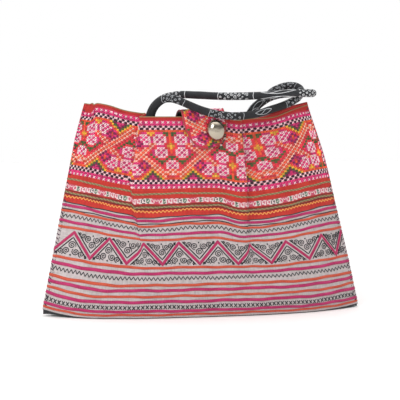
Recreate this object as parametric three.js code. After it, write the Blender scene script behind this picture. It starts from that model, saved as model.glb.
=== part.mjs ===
import * as THREE from "three";

// Cloth walls, millimetres. u runs along a row of the cloth, v runs down it from the top stitched row
const clothHalf = 187;
const clothDown = 219.5;
const wallThick = 1.6;
const rimThick = 1.6;
const gap = 0.4;
const seamHalf = 0.5;
const rimMiddle = 3.5;
const rimLeft = 7;
const rimRight = 5.5;
const stitchedEnd = 76;
const braidEnd = 107.5;
const edgeRound = 0.03;
// Where each side's lift begins: at the rim, its change for each millimetre down, and what it gains near the hem
const leftLift = { from: 94, slope: -0.14, later: 52 };
const rightLift = { from: 78, slope: 0, later: 38 };
const frontSag = 4.2;
const rightFoldSag = 2.8;
const leftFoldSag = 3;
const backSag = 5;
const sagDown = 78;

// A row of the wall at each depth down the cloth
const sections = [
  { down: -9, level: 228.5, halfWidth: 127.3, halfDepth: 18.2, square: 2.3, liftLeft: 15.2, liftRight: 11.5, shift: -8, twist: 0, flare: 0 },
  { down: 0, level: 219.5, halfWidth: 129.5, halfDepth: 18.6, square: 2.3, liftLeft: 15.2, liftRight: 11.5, shift: -8, twist: 0, flare: 0.4 },
  { down: 55, level: 164.9, halfWidth: 142.8, halfDepth: 24.5, square: 2.7, liftLeft: 16.2, liftRight: 11, shift: -6, twist: 2, flare: 4.2 },
  { down: 110, level: 110.4, halfWidth: 156.1, halfDepth: 32, square: 3, liftLeft: 14.5, liftRight: 7.5, shift: -4, twist: 4, flare: 3.8 },
  { down: 160, level: 60.8, halfWidth: 168.3, halfDepth: 37.5, square: 3.2, liftLeft: 12, liftRight: 5, shift: -2, twist: 6, flare: 3.2 },
  { down: 195, level: 26, halfWidth: 177, halfDepth: 39.6, square: 3.2, liftLeft: 9.5, liftRight: 4, shift: -0.7, twist: 7.5, flare: 1.6 },
  { down: 212, level: 9.2, halfWidth: 181.3, halfDepth: 39.4, square: 3.2, liftLeft: 8.2, liftRight: 3.2, shift: -0.1, twist: 8, flare: 0.8 },
  { down: 219.5, level: 2.4, halfWidth: 183, halfDepth: 38, square: 3.2, liftLeft: 7.5, liftRight: 3, shift: 0, twist: 8, flare: 0.5 },
];

// Pleats, the raised panel and the tuck at the left corner. takeUp is the cloth hidden at the rim, step the depth it goes in, reach how
// far down it lasts, lean how the fold's line moves outward going down. A soft fold eases in evenly over its whole width
const folds = [
  { hand: -1, from: 58, lean: 0.28, width: 36, takeUp: 34, step: 10, drop: 0, reach: 190, soft: false },
  { hand: -1, from: 66, lean: 0.28, width: 20, takeUp: 0, step: 0, drop: -3.8, reach: 85, soft: true },
  { hand: -1, from: 102, lean: 0.1, width: 58, takeUp: 21, step: -10, drop: 0, reach: 190, soft: true },
  { hand: -1, from: 161, lean: 0, width: 18, takeUp: 7, step: 7, drop: 9, reach: 40, soft: false },
  { hand: 1, from: 44, lean: 0.06, width: 34, takeUp: 32, step: 10, drop: 0, reach: 190, soft: false },
  { hand: 1, from: 98, lean: 0, width: 85, takeUp: 23, step: -10, drop: 0, reach: 190, soft: true },
];

// Base, tab, button and beads
const baseThick = 1.7;
const baseTurn = 9;
const tabThick = 1.2;
const liningThick = 1;
const tabHalf = 23.5;
const tabRound = 34;
const tabLean = 15;
const buttonRadius = 11.5;
const buttonRise = 8.5;
const buttonAt = { x: 10, z: 208.7 };
const beadRadius = 0.95;
const beadCount = 8;
const threadRadius = 0.4;

// Handles
const handleThick = 8.6;
const handleSides = 10;
const handleSteps = 52;

// Tab's run from its tip, up the front, over the mouth and down inside the back wall
const tabRun = [
  [6, -25.4, 188.5], [2.5, -24.7, 200], [-0.5, -24, 212], [-2.6, -23.4, 220.4], [-3.8, -22.8, 225.6], [-4.6, -20, 229.2],
  [-5.2, -12.6, 230], [-5.7, -2, 229.4], [-6.3, 7.6, 226.6], [-6.8, 13.6, 221.4], [-7, 16.2, 213.8], [-7, 16.9, 203],
];

// Handle routes, chosen by hand
const frontRoute = [
  [-61.2, -8.3, 195], [-61.2, -7, 207], [-60.8, -5.3, 219.5], [-58.6, -5.2, 229.6], [-53.6, -8.5, 237.6], [-46, -13.5, 242.8], [-36.8, -18.5, 243], [-26.5, -22.5, 239.2],
  [-14.5, -26.6, 233.8], [-1, -29.4, 228.8], [14, -30.9, 225.5], [28.5, -30.8, 224], [43.5, -28.2, 224.6], [60.5, -22.6, 227.2], [75.8, -17.5, 231.8], [91, -13.9, 236.7],
  [103.2, -11.9, 242.4], [110.3, -6.8, 248.3], [112.5, 0.8, 253.8], [109.5, 8.6, 257.7], [102.5, 14.6, 259], [93.3, 16.6, 257.2], [82.5, 13.4, 252.4], [72.2, 7.5, 244.2],
  [62.6, 2.2, 237.8], [54.9, -2.5, 230.6], [50.2, -4.2, 220.6], [48.2, -5, 208.5], [48, -5.6, 195],
];
const backRoute = [
  [-63, 7.9, 192], [-63, 6.7, 203.5], [-62.6, 5.2, 216.5], [-60.2, 5.2, 228], [-53.6, 6.6, 238], [-43, 7.4, 244.8], [-26.5, 6, 248], [-6.5, 2, 247.6],
  [12.5, -2.5, 246.6], [31.5, -7, 246.2], [51.5, -11.5, 246.6], [71.5, -15.8, 247.6], [90, -18.8, 249], [104.5, -19.7, 249.8], [115.8, -17, 250], [123.3, -9.6, 250],
  [126, 0.5, 250], [123.3, 10.6, 250], [115.8, 18, 250], [104.5, 20.9, 249.8], [92.5, 21.4, 248.6], [81, 20, 245.4], [70.8, 16, 239.8], [62, 10.6, 232.8],
  [55.8, 4.9, 223.6], [52.6, 3.9, 213.5], [51.3, 4.6, 203], [51, 5.6, 192],
];

// Smooth step from 0 to 1
function eased(t) {
  const c = Math.min(1, Math.max(0, t));
  return c * c * (3 - 2 * c);
}

// Value of one column of the sections at a depth, by a cubic through its rows
function atDepth(column, v) {
  let i = 0;
  while (i < sections.length - 2 && v > sections[i + 1].down) i += 1;
  const slope = (k) => {
    const a = sections[Math.max(0, k - 1)];
    const b = sections[Math.min(sections.length - 1, k + 1)];
    return (b[column] - a[column]) / (b.down - a.down);
  };
  const p = sections[i];
  const q = sections[i + 1];
  const h = q.down - p.down;
  const t = (v - p.down) / h;
  return (2 * t ** 3 - 3 * t ** 2 + 1) * p[column] + (t ** 3 - 2 * t ** 2 + t) * h * slope(i)
    + (3 * t ** 2 - 2 * t ** 3) * q[column] + (t ** 3 - t ** 2) * h * slope(i + 1);
}

// Middle of the cloth's thickness at (u, v). side is -1 for the front wall and 1 for the back
function clothPoint(side, u, v, thick) {
  const hand = u < 0 ? -1 : 1;
  let along = Math.abs(u);
  let whole = clothHalf;
  let inset = 0;
  let drop = 0;
  for (const fold of folds) {
    if (fold.hand !== hand) continue;
    const left = Math.max(0, 1 - v / fold.reach);
    const line = fold.from + fold.lean * (Math.min(v, 70) - 0.4 * Math.max(0, v - 70));
    const into = (Math.abs(u) - line) / (fold.width * (fold.soft ? 1 : 0.35 + 0.65 * left));
    const share = eased(into);
    const deep = fold.soft ? share : 0.5 * eased((into - 0.05) / 0.4) + 0.5 * eased((into - 0.55) / 0.4);
    along -= fold.takeUp * left ** 1.15 * share;
    whole -= fold.takeUp * left ** 1.15;
    inset += fold.step * Math.min(1, 0.56 + v / 100) * left ** 0.9 * deep;
    drop += fold.drop * left * share;
  }
  const t = along / whole;
  const halfWidth = atDepth("halfWidth", v);
  const across = (1 + edgeRound) * t - edgeRound * t ** 5;
  const depth = atDepth("halfDepth", v) * (1 - Math.abs(across) ** atDepth("square", v)) + thick / 2 + gap * 0.6 - inset * (1 - across ** 8);
  const begins = hand < 0 ? leftLift : rightLift;
  const from = begins.from + begins.slope * Math.min(132, Math.max(0, v)) + begins.later * eased((v - 140) / 79);
  const lift = atDepth(hand < 0 ? "liftLeft" : "liftRight", v)
    * Math.max(0, (Math.abs(u) - from) / (clothHalf - from)) ** (1 + 0.9 * eased((v - 150) / 70));
  const fades = 110 - 30 * eased(v / 75);
  const sag = side < 0
    ? (frontSag + rightFoldSag * eased((v - 65) / 40)) * (1 - eased((v - 100) / 85))
      * eased((u - 15) / 32) * (1 - eased((u - fades) / (clothHalf - fades)))
      + leftFoldSag * Math.exp(-(((v - 112) / 26) ** 2)) * eased((-u - 10) / 50) * (1 - eased((-u - 80) / 100))
    : backSag * (1 - across ** 2) * (1 - 0.6 * eased((u - 85) / 50)) * Math.max(0, 1 - v / sagDown);
  const flare = hand > 0 ? atDepth("flare", v) * Math.max(0, across) ** 3 : 0;
  return new THREE.Vector3(
    atDepth("shift", v) + hand * halfWidth * across + flare,
    side * depth + atDepth("twist", v) * hand * across,
    atDepth("level", v) + lift - drop - sag,
  );
}

// Unit normal of the cloth, pointing out of the bag
function clothNormal(side, u, v, thick) {
  const e = 0.02;
  const a = clothPoint(side, Math.min(clothHalf, u + e), v, thick).sub(clothPoint(side, Math.max(-clothHalf, u - e), v, thick));
  const b = clothPoint(side, u, v + e, thick).sub(clothPoint(side, u, v - e, thick));
  return a.cross(b).multiplyScalar(side).normalize();
}

// Closed solid between two grids of points of the same size, one[i][j] on the outside and other[i][j] on the inside
function slab(one, other, flipped) {
  const n = one.length;
  const m = one[0].length;
  const points = [...one.flat(), ...other.flat()];
  const index = [];
  const quad = (a, b, c, d) => index.push(...(flipped ? [a, c, b, a, d, c] : [a, b, c, a, c, d]));
  const at = (i, j) => i * m + j;
  const under = n * m;
  for (let i = 0; i < n - 1; i += 1) {
    for (let j = 0; j < m - 1; j += 1) {
      quad(at(i, j), at(i, j + 1), at(i + 1, j + 1), at(i + 1, j));
      quad(under + at(i, j), under + at(i + 1, j), under + at(i + 1, j + 1), under + at(i, j + 1));
    }
  }
  for (let i = 0; i < n - 1; i += 1) {
    quad(at(i, 0), at(i + 1, 0), under + at(i + 1, 0), under + at(i, 0));
    quad(at(i, m - 1), under + at(i, m - 1), under + at(i + 1, m - 1), at(i + 1, m - 1));
  }
  for (let j = 0; j < m - 1; j += 1) {
    quad(at(0, j + 1), at(0, j), under + at(0, j), under + at(0, j + 1));
    quad(at(n - 1, j), at(n - 1, j + 1), under + at(n - 1, j + 1), under + at(n - 1, j));
  }
  const geometry = new THREE.BufferGeometry();
  geometry.setAttribute("position", new THREE.Float32BufferAttribute(points.flatMap((p) => p.toArray()), 3));
  geometry.setIndex(index);
  return geometry;
}

// Places along a row, closer together in the folds
function rowPlaces(parts) {
  const half = (hand) => {
    const marks = [0, 16, 32, 82, 136, 150, 180, clothHalf];
    for (const fold of folds.filter((f) => f.hand === hand)) {
      for (let k = 0; k <= parts; k += 1) marks.push(fold.from + ((fold.width + 70 * fold.lean) * k) / parts);
    }
    const sorted = marks.sort((a, b) => a - b);
    return sorted.filter((mark, k) => k === 0 || mark - sorted[k - 1] > 1.5);
  };
  return [...half(-1).slice(1).reverse().map((mark) => -mark), ...half(1)];
}

// A band of one wall from depth top(u) to depth bottom, of rows cells down
function band(side, top, bottom, rows, thick, parts) {
  const outer = [];
  const inner = [];
  for (const u of rowPlaces(parts)) {
    const outerRow = [];
    const innerRow = [];
    for (let j = 0; j <= rows; j += 1) {
      const v = top(u) + ((bottom - top(u)) * j) / rows;
      const n = clothNormal(side, u, v, thick).multiplyScalar(thick / 2);
      const p = clothPoint(side, u, v, thick);
      outerRow.push(p.clone().add(n));
      innerRow.push(p.clone().sub(n));
    }
    outer.push(outerRow);
    inner.push(innerRow);
  }
  return slab(outer, inner, side > 0);
}

// Flat base with its edge turned up to the bottom seam
function baseCloth() {
  const lower = [];
  const upper = [];
  for (const u of rowPlaces(2)) {
    const front = clothPoint(-1, u, clothDown, wallThick);
    const back = clothPoint(1, u, clothDown, wallThick);
    const out = wallThick * 0.4;
    const middle = (front.y + back.y) / 2;
    const half = (back.y - front.y) / 2 + out;
    const edge = Math.max(0, front.z - 2 * gap - baseThick);
    const flat = Math.max(0.35, half - baseTurn);
    const lowRow = [];
    const highRow = [];
    for (const w of [-1, -0.8, -0.6, -0.4, 0, 0.4, 0.6, 0.8, 1]) {
      const turned = Math.max(0, (Math.abs(w) - 0.4) / 0.6);
      const y = middle + Math.sign(w) * (Math.abs(w) <= 0.4 ? flat * Math.abs(w) / 0.4 : flat + (half - flat) * turned);
      lowRow.push(new THREE.Vector3(front.x, y, edge * turned ** 2));
      highRow.push(new THREE.Vector3(front.x, y, edge * turned ** 2 + baseThick));
    }
    lower.push(lowRow);
    upper.push(highRow);
  }
  return slab(lower, upper, false);
}

// Frame of the tab at a share of its run: place, width direction and outward normal
const tabCurve = new THREE.CatmullRomCurve3(tabRun.map((p) => new THREE.Vector3(...p)), false, "catmullrom", 0.5);
function tabFrame(t) {
  const lean = THREE.MathUtils.degToRad(tabLean) * (1 - 0.9 * eased((t - 0.2) / 0.3));
  const width = new THREE.Vector3(Math.cos(lean), 0, Math.sin(lean));
  const run = tabCurve.getTangentAt(t);
  width.addScaledVector(run, -width.dot(run)).normalize();
  const out = new THREE.Vector3().crossVectors(width, run).normalize();
  return { place: tabCurve.getPointAt(t), width, out };
}

// One layer of the tab between two distances outward from its run
function tabLayer(low, high, trim) {
  const outer = [];
  const inner = [];
  const length = tabCurve.getLength();
  const steps = 32;
  for (let i = 0; i <= steps; i += 1) {
    const d = 0.4 + trim + (length - 0.4 - trim) * (i / steps) ** 1.25;
    const { place, width, out } = tabFrame(d / length);
    const half = Math.max(1.5, (tabHalf - trim) * (1 - (1 - Math.min(1, (d - trim) / tabRound)) ** 2.2) ** (1 / 2.2));
    const rowOuter = [];
    const rowInner = [];
    for (let k = -3; k <= 3; k += 1) {
      const p = place.clone().addScaledVector(width, (half * k) / 3);
      rowOuter.push(p.clone().addScaledVector(out, high));
      rowInner.push(p.clone().addScaledVector(out, low));
    }
    outer.push(rowOuter);
    inner.push(rowInner);
  }
  return slab(outer, inner, false);
}

// Dome button lying on the tab
const buttonShare = (() => {
  let best = 0;
  for (let k = 0; k <= 400; k += 1) {
    const near = Math.abs(tabCurve.getPointAt(k / 800).z - buttonAt.z);
    if (near < Math.abs(tabCurve.getPointAt(best).z - buttonAt.z)) best = k / 800;
  }
  return best;
})();
function onTab(x, z, out) {
  const frame = tabFrame(buttonShare);
  const p = frame.place.clone();
  const right = new THREE.Vector3(1, 0, 0).addScaledVector(frame.out, -frame.out.x);
  const up = new THREE.Vector3(0, 0, 1).addScaledVector(frame.out, -frame.out.z);
  return p.addScaledVector(right, x - p.x).addScaledVector(up, z - p.z).addScaledVector(frame.out, out);
}
function domeButton() {
  const profile = [new THREE.Vector2(0, 0), new THREE.Vector2(buttonRadius - 0.8, 0), new THREE.Vector2(buttonRadius, 0.8)];
  for (let k = 1; k <= 7; k += 1) {
    const a = (Math.PI / 2) * (k / 7);
    profile.push(new THREE.Vector2(k === 7 ? 0 : buttonRadius * Math.cos(a), 0.8 + (buttonRise - 0.8) * Math.sin(a)));
  }
  const geometry = new THREE.LatheGeometry(profile, 28);
  const { out } = tabFrame(buttonShare);
  geometry.applyQuaternion(new THREE.Quaternion().setFromUnitVectors(new THREE.Vector3(0, 1, 0), out));
  const at = onTab(buttonAt.x, buttonAt.z, gap / 2 + tabThick + gap);
  return geometry.translate(at.x, at.y, at.z);
}

// Seed beads joined along their thread, from under the button's right side down past the tab's edge
function beadString() {
  const lift = gap / 2 + tabThick + gap + beadRadius;
  const path = new THREE.CatmullRomCurve3([
    onTab(20.6, 203.2, lift), onTab(20.2, 199.5, lift), onTab(18.4, 195.4, lift + 0.3), onTab(15.6, 191.2, lift + 0.3), onTab(13.6, 187.6, lift),
  ]);
  const steps = beadCount * 4;
  const frames = path.computeFrenetFrames(steps, false);
  const rings = [];
  for (let i = 0; i <= steps; i += 1) {
    const p = path.getPointAt(i / steps);
    const r = threadRadius + (beadRadius - threadRadius) * Math.sin((Math.PI * i) / 4) ** 2;
    for (let k = 0; k < 8; k += 1) {
      const a = (2 * Math.PI * k) / 8;
      rings.push(p.clone().addScaledVector(frames.normals[i], r * Math.cos(a)).addScaledVector(frames.binormals[i], r * Math.sin(a)));
    }
  }
  const index = [];
  for (let i = 0; i < steps; i += 1) {
    for (let k = 0; k < 8; k += 1) {
      const a = i * 8 + k;
      const b = i * 8 + ((k + 1) % 8);
      index.push(a, b, b + 8, a, b + 8, a + 8);
    }
  }
  for (let k = 1; k < 7; k += 1) {
    index.push(0, k + 1, k);
    index.push(steps * 8, steps * 8 + k, steps * 8 + k + 1);
  }
  const geometry = new THREE.BufferGeometry();
  geometry.setAttribute("position", new THREE.Float32BufferAttribute(rings.flatMap((p) => p.toArray()), 3));
  geometry.setIndex(index);
  return geometry;
}

// Round cord along a hand-chosen route
function handle(route) {
  const section = new THREE.Shape();
  for (let k = 0; k < handleSides; k += 1) {
    const a = (2 * Math.PI * k) / handleSides;
    section[k === 0 ? "moveTo" : "lineTo"]((handleThick / 2) * Math.cos(a), (handleThick / 2) * Math.sin(a));
  }
  section.closePath();
  const path = new THREE.CatmullRomCurve3(route.map((p) => new THREE.Vector3(...p)), false, "catmullrom", 0.5);
  return new THREE.ExtrudeGeometry(section, { steps: handleSteps, extrudePath: path, bevelEnabled: false });
}

const part = new THREE.Group();
function add(name, geometry, colour) {
  const mesh = new THREE.Mesh(geometry, new THREE.MeshStandardMaterial({ color: colour }));
  mesh.name = name;
  part.add(mesh);
}

const rimTop = (u) => -(rimMiddle + rimLeft * eased((-u - 166) / 12) + rimRight * (Math.max(0, u) / clothHalf) ** 2.5);
for (const [side, name, parts] of [[-1, "front", 9], [1, "back", 6]]) {
  add(`${name}_rim_band`, band(side, rimTop, -gap, 1, rimThick, parts), 0xcf3228);
  add(`${name}_embroidered_band`, band(side, () => gap / 2, stitchedEnd - seamHalf, 5, wallThick, parts), 0xd8294f);
  add(`${name}_braid_band`, band(side, () => stitchedEnd + seamHalf, braidEnd - seamHalf, 2, wallThick, parts), 0xb02a22);
  add(`${name}_striped_panel`, band(side, () => braidEnd + seamHalf, clothDown, 6, wallThick, parts), 0xcfc6c3);
}
add("base_cloth", baseCloth(), 0x3c3b3d);
add("closing_tab", tabLayer(gap / 2, gap / 2 + tabThick, 0), 0xd8294f);
add("tab_lining", tabLayer(-gap / 2 - liningThick, -gap / 2, 0.8), 0x2a2a2e);
add("dome_button", domeButton(), 0xc8ccd0);
add("bead_string", beadString(), 0x2f4a3a);
add("front_handle", handle(frontRoute), 0x33353b);
add("back_handle", handle(backRoute), 0x33353b);

export default part;
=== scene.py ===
import math
import bpy
import numpy as np
from mathutils import Matrix


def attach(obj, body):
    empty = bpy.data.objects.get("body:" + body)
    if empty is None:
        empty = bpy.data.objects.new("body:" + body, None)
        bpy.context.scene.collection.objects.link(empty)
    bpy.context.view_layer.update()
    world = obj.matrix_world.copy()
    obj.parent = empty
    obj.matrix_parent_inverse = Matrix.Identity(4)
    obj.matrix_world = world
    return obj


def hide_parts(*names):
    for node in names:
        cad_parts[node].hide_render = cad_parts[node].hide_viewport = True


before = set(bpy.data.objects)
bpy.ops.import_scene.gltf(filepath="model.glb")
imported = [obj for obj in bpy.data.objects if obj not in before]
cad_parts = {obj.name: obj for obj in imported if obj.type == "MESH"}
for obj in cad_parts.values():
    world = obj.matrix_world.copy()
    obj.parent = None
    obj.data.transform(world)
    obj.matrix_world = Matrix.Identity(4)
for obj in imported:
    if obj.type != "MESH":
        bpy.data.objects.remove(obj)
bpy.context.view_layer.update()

dice = np.random.default_rng(11)
mm = 0.001
print("frame loaded:", len(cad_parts), "nodes")


# One small helper for node trees: settings go to the node or its sockets, links come from other sockets
def addNode(tree, kind, settings=None, links=None):
    node = tree.nodes.new(kind)
    for key, value in (settings or {}).items():
        if isinstance(key, str) and hasattr(node, key):
            setattr(node, key, value)
        else:
            node.inputs[key].default_value = value
    for key, source in (links or {}).items():
        tree.links.new(source, node.inputs[key])
    return node


# The three channels of an sRGB hex value, 0 to 255
def channels(code):
    return np.array([int(code[i:i + 2], 16) for i in (1, 3, 5)], float)


# sRGB hex to linear RGBA
def toLinear(code):
    c = channels(code) / 255
    c = np.where(c <= 0.04045, c / 12.92, ((c + 0.055) / 1.055) ** 2.4)
    return (*c.tolist(), 1.0)


# Vectors made one unit long
def unit(a):
    return a / np.linalg.norm(a, axis=-1, keepdims=True)


def addObject(name, data):
    thing = bpy.data.objects.new(name, data)
    bpy.context.scene.collection.objects.link(thing)
    return thing


# Turn for a camera or lamp: its z axis points back from what it looks at, its x axis is level
def levelTurn(back):
    back = unit(np.array(back, float))
    side = unit(np.cross((0, 0, 1), back))
    return Matrix(np.stack([side, np.cross(back, side), back], 1).tolist()).to_4x4()


# Material with constants on the shader's own sockets
def newMaterial(name, sockets):
    mat = bpy.data.materials.new(name)
    mat.use_nodes = True
    for key, value in sockets.items():
        mat.node_tree.nodes["Principled BSDF"].inputs[key].default_value = value
    return mat


# Camera, fitted to the photograph. Millimetres, degrees and pixels of the 400 x 400 frame; clip in metres
cameraFit = {"target": (0, 0, 118), "distance": 1300, "azimuth": 7.87, "elevation": 4.81,
             "focal": 1136.93, "centre": (203.66, 208.93), "frame": 400, "sensor": 36, "clip": 20}


# Eye on a sphere round the target, then turned so that the frame's middle looks where the fit puts it
def placeCamera(fit):
    a, e = math.radians(fit["azimuth"]), math.radians(fit["elevation"])
    back = np.array([-math.sin(a) * math.cos(e), -math.cos(a) * math.cos(e), math.sin(e)])
    right = np.array([math.cos(a), -math.sin(a), 0])
    eye = np.array(fit["target"]) + back * fit["distance"]
    offX, offY = (fit["frame"] / 2 - c for c in fit["centre"])
    look = -back + (right * offX - np.cross(back, right) * offY) / fit["focal"]
    data = bpy.data.cameras.new("photo_camera")
    data.sensor_width = fit["sensor"]
    data.lens = fit["sensor"] * fit["focal"] / fit["frame"]
    data.clip_end = fit["clip"]
    cam = addObject("photo_camera", data)
    cam.matrix_world = Matrix.Translation((eye * mm).tolist()) @ levelTurn(-look)
    bpy.context.scene.camera = cam


placeCamera(cameraFit)
print("camera placed")

# Room: pale floor, a studio tent that is white low down, grey half way up and brightest overhead, and a key lamp.
# Lamps as (place, size, watts, aim), metres; the tent as brightness at the sine of the height
room = {"floorSize": 8, "floor": "#FCFBFA", "air": "#FFFFFF",
        "tent": {"low": 1.0, "middle": 0.3, "zenith": 1.95, "lowEnds": (0.1, 0.3), "topStarts": (0.55, 0.9)},
        "lamps": {"key": ((-0.85, -1.1, 0.95), 0.8, 9, (0, 0, 0.12))}}


def lightRoom(spec):
    world = bpy.data.worlds.new("studio_air")
    bpy.context.scene.world = world
    world.use_nodes = True
    tree, tent = world.node_tree, spec["tent"]
    where = addNode(tree, "ShaderNodeTexCoord").outputs["Generated"]
    height = addNode(tree, "ShaderNodeSeparateXYZ", None, {"Vector": where}).outputs["Z"]
    steps = []
    for span, low, high in ((tent["lowEnds"], tent["low"], tent["middle"]),
                            (tent["topStarts"], 0.0, tent["zenith"] - tent["middle"])):
        step = addNode(tree, "ShaderNodeMapRange",
                       {"interpolation_type": "SMOOTHSTEP", "From Min": span[0], "From Max": span[1],
                        "To Min": low, "To Max": high}, {"Value": height})
        steps.append(step.outputs["Result"])
    glow = addNode(tree, "ShaderNodeMath", {"operation": "ADD"}, {0: steps[0], 1: steps[1]})
    tree.links.new(glow.outputs[0], tree.nodes["Background"].inputs["Strength"])
    tree.nodes["Background"].inputs["Color"].default_value = toLinear(spec["air"])
    for name, (place, size, watts, aim) in spec["lamps"].items():
        data = bpy.data.lights.new(name + "_lamp", "AREA")
        data.shape, data.size, data.energy = "DISK", size, watts
        lamp = addObject(name + "_lamp", data)
        lamp.matrix_world = Matrix.Translation(place) @ levelTurn(np.subtract(place, aim))
    half = spec["floorSize"] / 2
    mesh = bpy.data.meshes.new("floor")
    mesh.from_pydata([(-half, -half, 0), (half, -half, 0), (half, half, 0), (-half, half, 0)], [], [(0, 1, 2, 3)])
    # matt paper: plain, keeps the shadow soft
    paper = newMaterial("matt_studio_paper", {"Base Color": toLinear(spec["floor"]), "Roughness": 0.9})
    mesh.materials.append(paper)
    addObject("floor", mesh)
    bpy.context.scene.view_settings.view_transform = "Standard"


lightRoom(room)
print("room lit")


# Even-coloured thread, yarn or bead: the colour sits on the sockets, its relief is modelled
def threadFinish(name, code, roughness=0.7, sheen=0.1, metallic=0.0, coat=0.0):
    return newMaterial(name, {"Base Color": toLinear(code), "Roughness": roughness, "Sheen Weight": sheen,
                              "Sheen Roughness": 0.45, "Metallic": metallic, "Coat Weight": coat})


# Shades of one thread, as a dye lot varies: each channel scaled a little darker and a little lighter. The darkest shade
# also fills the pads under the cross stitches, as painted shade
def shadesOf(name, code, spread, **finish):
    found = []
    for k, tone in enumerate((1 - spread, 1, 1 + spread * 0.7)):
        c = np.clip(channels(code) * tone, 0, 255).astype(int)
        found.append(threadFinish(f"{name}_{k + 1}", "#%02X%02X%02X" % tuple(c), **finish))
    return found


# Woven cloth. The pattern reads the piece's own UV map "weave", in mm along and across:
# threads are a product of two sines, slubs are noise drawn out along each thread, and dye clouds are soft noise.
# Weave and slubs go from dark to base, and the clouds lay the light colour over that
def wovenCloth(name, dark, base, light, thread, slub=14, cloud=30, relief=0.12, roughness=0.85, sheen=0.1,
               depth=0.55, clouding=0.5, twill=False):
    mat = newMaterial(name, {"Roughness": roughness, "Sheen Weight": sheen, "Sheen Roughness": 0.5})
    tree = mat.node_tree
    surface = tree.nodes["Principled BSDF"]
    where = addNode(tree, "ShaderNodeUVMap", {"uv_map": "weave"}).outputs["UV"]
    split = addNode(tree, "ShaderNodeSeparateXYZ", None, {"Vector": where})
    sources = [split.outputs["X"], split.outputs["Y"]]
    if twill:  # diagonal ribs
        sources = [addNode(tree, "ShaderNodeMath", {"operation": "ADD"}, {0: sources[0], 1: sources[1]}).outputs[0]]
    waves = []
    for source in sources:
        turned = addNode(tree, "ShaderNodeMath", {"operation": "MULTIPLY", 1: 2 * math.pi / thread}, {0: source})
        waves.append(addNode(tree, "ShaderNodeMath", {"operation": "SINE"}, {0: turned.outputs[0]}).outputs[0])
    weave = waves[0]
    if not twill:
        weave = addNode(tree, "ShaderNodeMath", {"operation": "MULTIPLY"}, {0: waves[0], 1: waves[1]}).outputs[0]
    streaks = []
    thin = 1 / (thread * 1.3)  # a slub is a little thicker than its thread
    for stretch in ((1 / slub, thin, 1), (thin, 1 / slub, 1)):
        drawn = addNode(tree, "ShaderNodeVectorMath", {"operation": "MULTIPLY", 1: stretch}, {0: where})
        streaks.append(addNode(tree, "ShaderNodeTexNoise", {"Scale": 1.0, "Detail": 2.0},
                               {"Vector": drawn.outputs[0]}).outputs["Fac"])
    slubs = addNode(tree, "ShaderNodeMath", {"operation": "ADD"}, {0: streaks[0], 1: streaks[1]}).outputs[0]
    spread = addNode(tree, "ShaderNodeMath", {"operation": "MULTIPLY_ADD", 1: 1.6, 2: -1.1}, {0: slubs}).outputs[0]
    shade = addNode(tree, "ShaderNodeMath", {"operation": "MULTIPLY_ADD", 1: 0.22 * depth}, {0: weave, 2: spread})
    mixed = addNode(tree, "ShaderNodeMix",
                    {"data_type": "RGBA", 6: toLinear(dark), 7: toLinear(base), "clamp_factor": True},
                    {0: shade.outputs[0]})
    soft = addNode(tree, "ShaderNodeVectorMath", {"operation": "MULTIPLY", 1: (1 / cloud, 1 / cloud, 1)}, {0: where})
    clouds = addNode(tree, "ShaderNodeTexNoise", {"Scale": 1.0, "Detail": 3.0}, {"Vector": soft.outputs[0]})
    veil = addNode(tree, "ShaderNodeMath",
                   {"operation": "MULTIPLY_ADD", 1: 2.2 * clouding, 2: -0.8 * clouding, "use_clamp": True},
                   {0: clouds.outputs["Fac"]})
    whole = addNode(tree, "ShaderNodeMix", {"data_type": "RGBA", 7: toLinear(light)},
                    {0: veil.outputs[0], 6: mixed.outputs[2]})
    tree.links.new(whole.outputs[2], surface.inputs["Base Color"])
    height = addNode(tree, "ShaderNodeMath", {"operation": "MULTIPLY_ADD", 1: 0.5}, {0: weave, 2: slubs})
    bump = addNode(tree, "ShaderNodeBump", {"Strength": 0.6, "Distance": relief * mm}, {"Height": height.outputs[0]})
    tree.links.new(bump.outputs["Normal"], surface.inputs["Normal"])
    return mat


# Plain-weave cottons and hemp, all vat or hand dyed: soft, no gloss, slubs and dye clouds show before single threads.
# Real threads are 0.4 to 0.7 mm; they are drawn about twice as coarse so that they show
ropeWeave = {"thread": 1.2, "slub": 9, "cloud": 13, "relief": 0.14, "clouding": 0.6}
cloths = {
    "ground": wovenCloth("madder_cotton_ground", "#A01C3A", "#C2284A", "#D23652", 1.2),
    "red": wovenCloth("scarlet_cotton_poplin", "#9C1C18", "#C22E24", "#D04032", 1.1, slub=22, depth=0.45),
    "rim": wovenCloth("crimson_cotton_rim", "#901614", "#B82622", "#C63A32", 1.1, slub=22, depth=0.45),
    "hemp": wovenCloth("batik_hemp_cloth", "#A29A99", "#C3BBB9", "#CDBEC2", 1.5, slub=11, cloud=24, relief=0.2,
                       depth=0.8),
    "base": wovenCloth("charcoal_cotton_twill", "#262628", "#3A393C", "#48474A", 1.6, twill=True, depth=0.9),
    "lining": wovenCloth("khaki_cotton_lining", "#3B3424", "#574C36", "#655A42", 1.3),
    "tabBack": wovenCloth("plum_cotton_lining", "#1C1219", "#2A1D27", "#352832", 1.2),
    # the front rope is the same batik cotton as the back, its three colours darkened as painted shade
    "frontRope": wovenCloth("batik_cotton_painted_shade", "#101113", "#1B1C1F", "#2A2C30", sheen=0.02, **ropeWeave),
    "backRope": wovenCloth("indigo_batik_cotton", "#17181B", "#242529", "#35373B", **ropeWeave),
}
print("cloths:", len(cloths))


# Quads of an n by m grid, first index along u, second along v
def gridQuads(n, m):
    i, j = np.meshgrid(np.arange(n - 1), np.arange(m - 1), indexing="ij")
    a = (i * m + j).ravel()
    return np.stack([a, a + m, a + m + 1, a + 1], 1)


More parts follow.
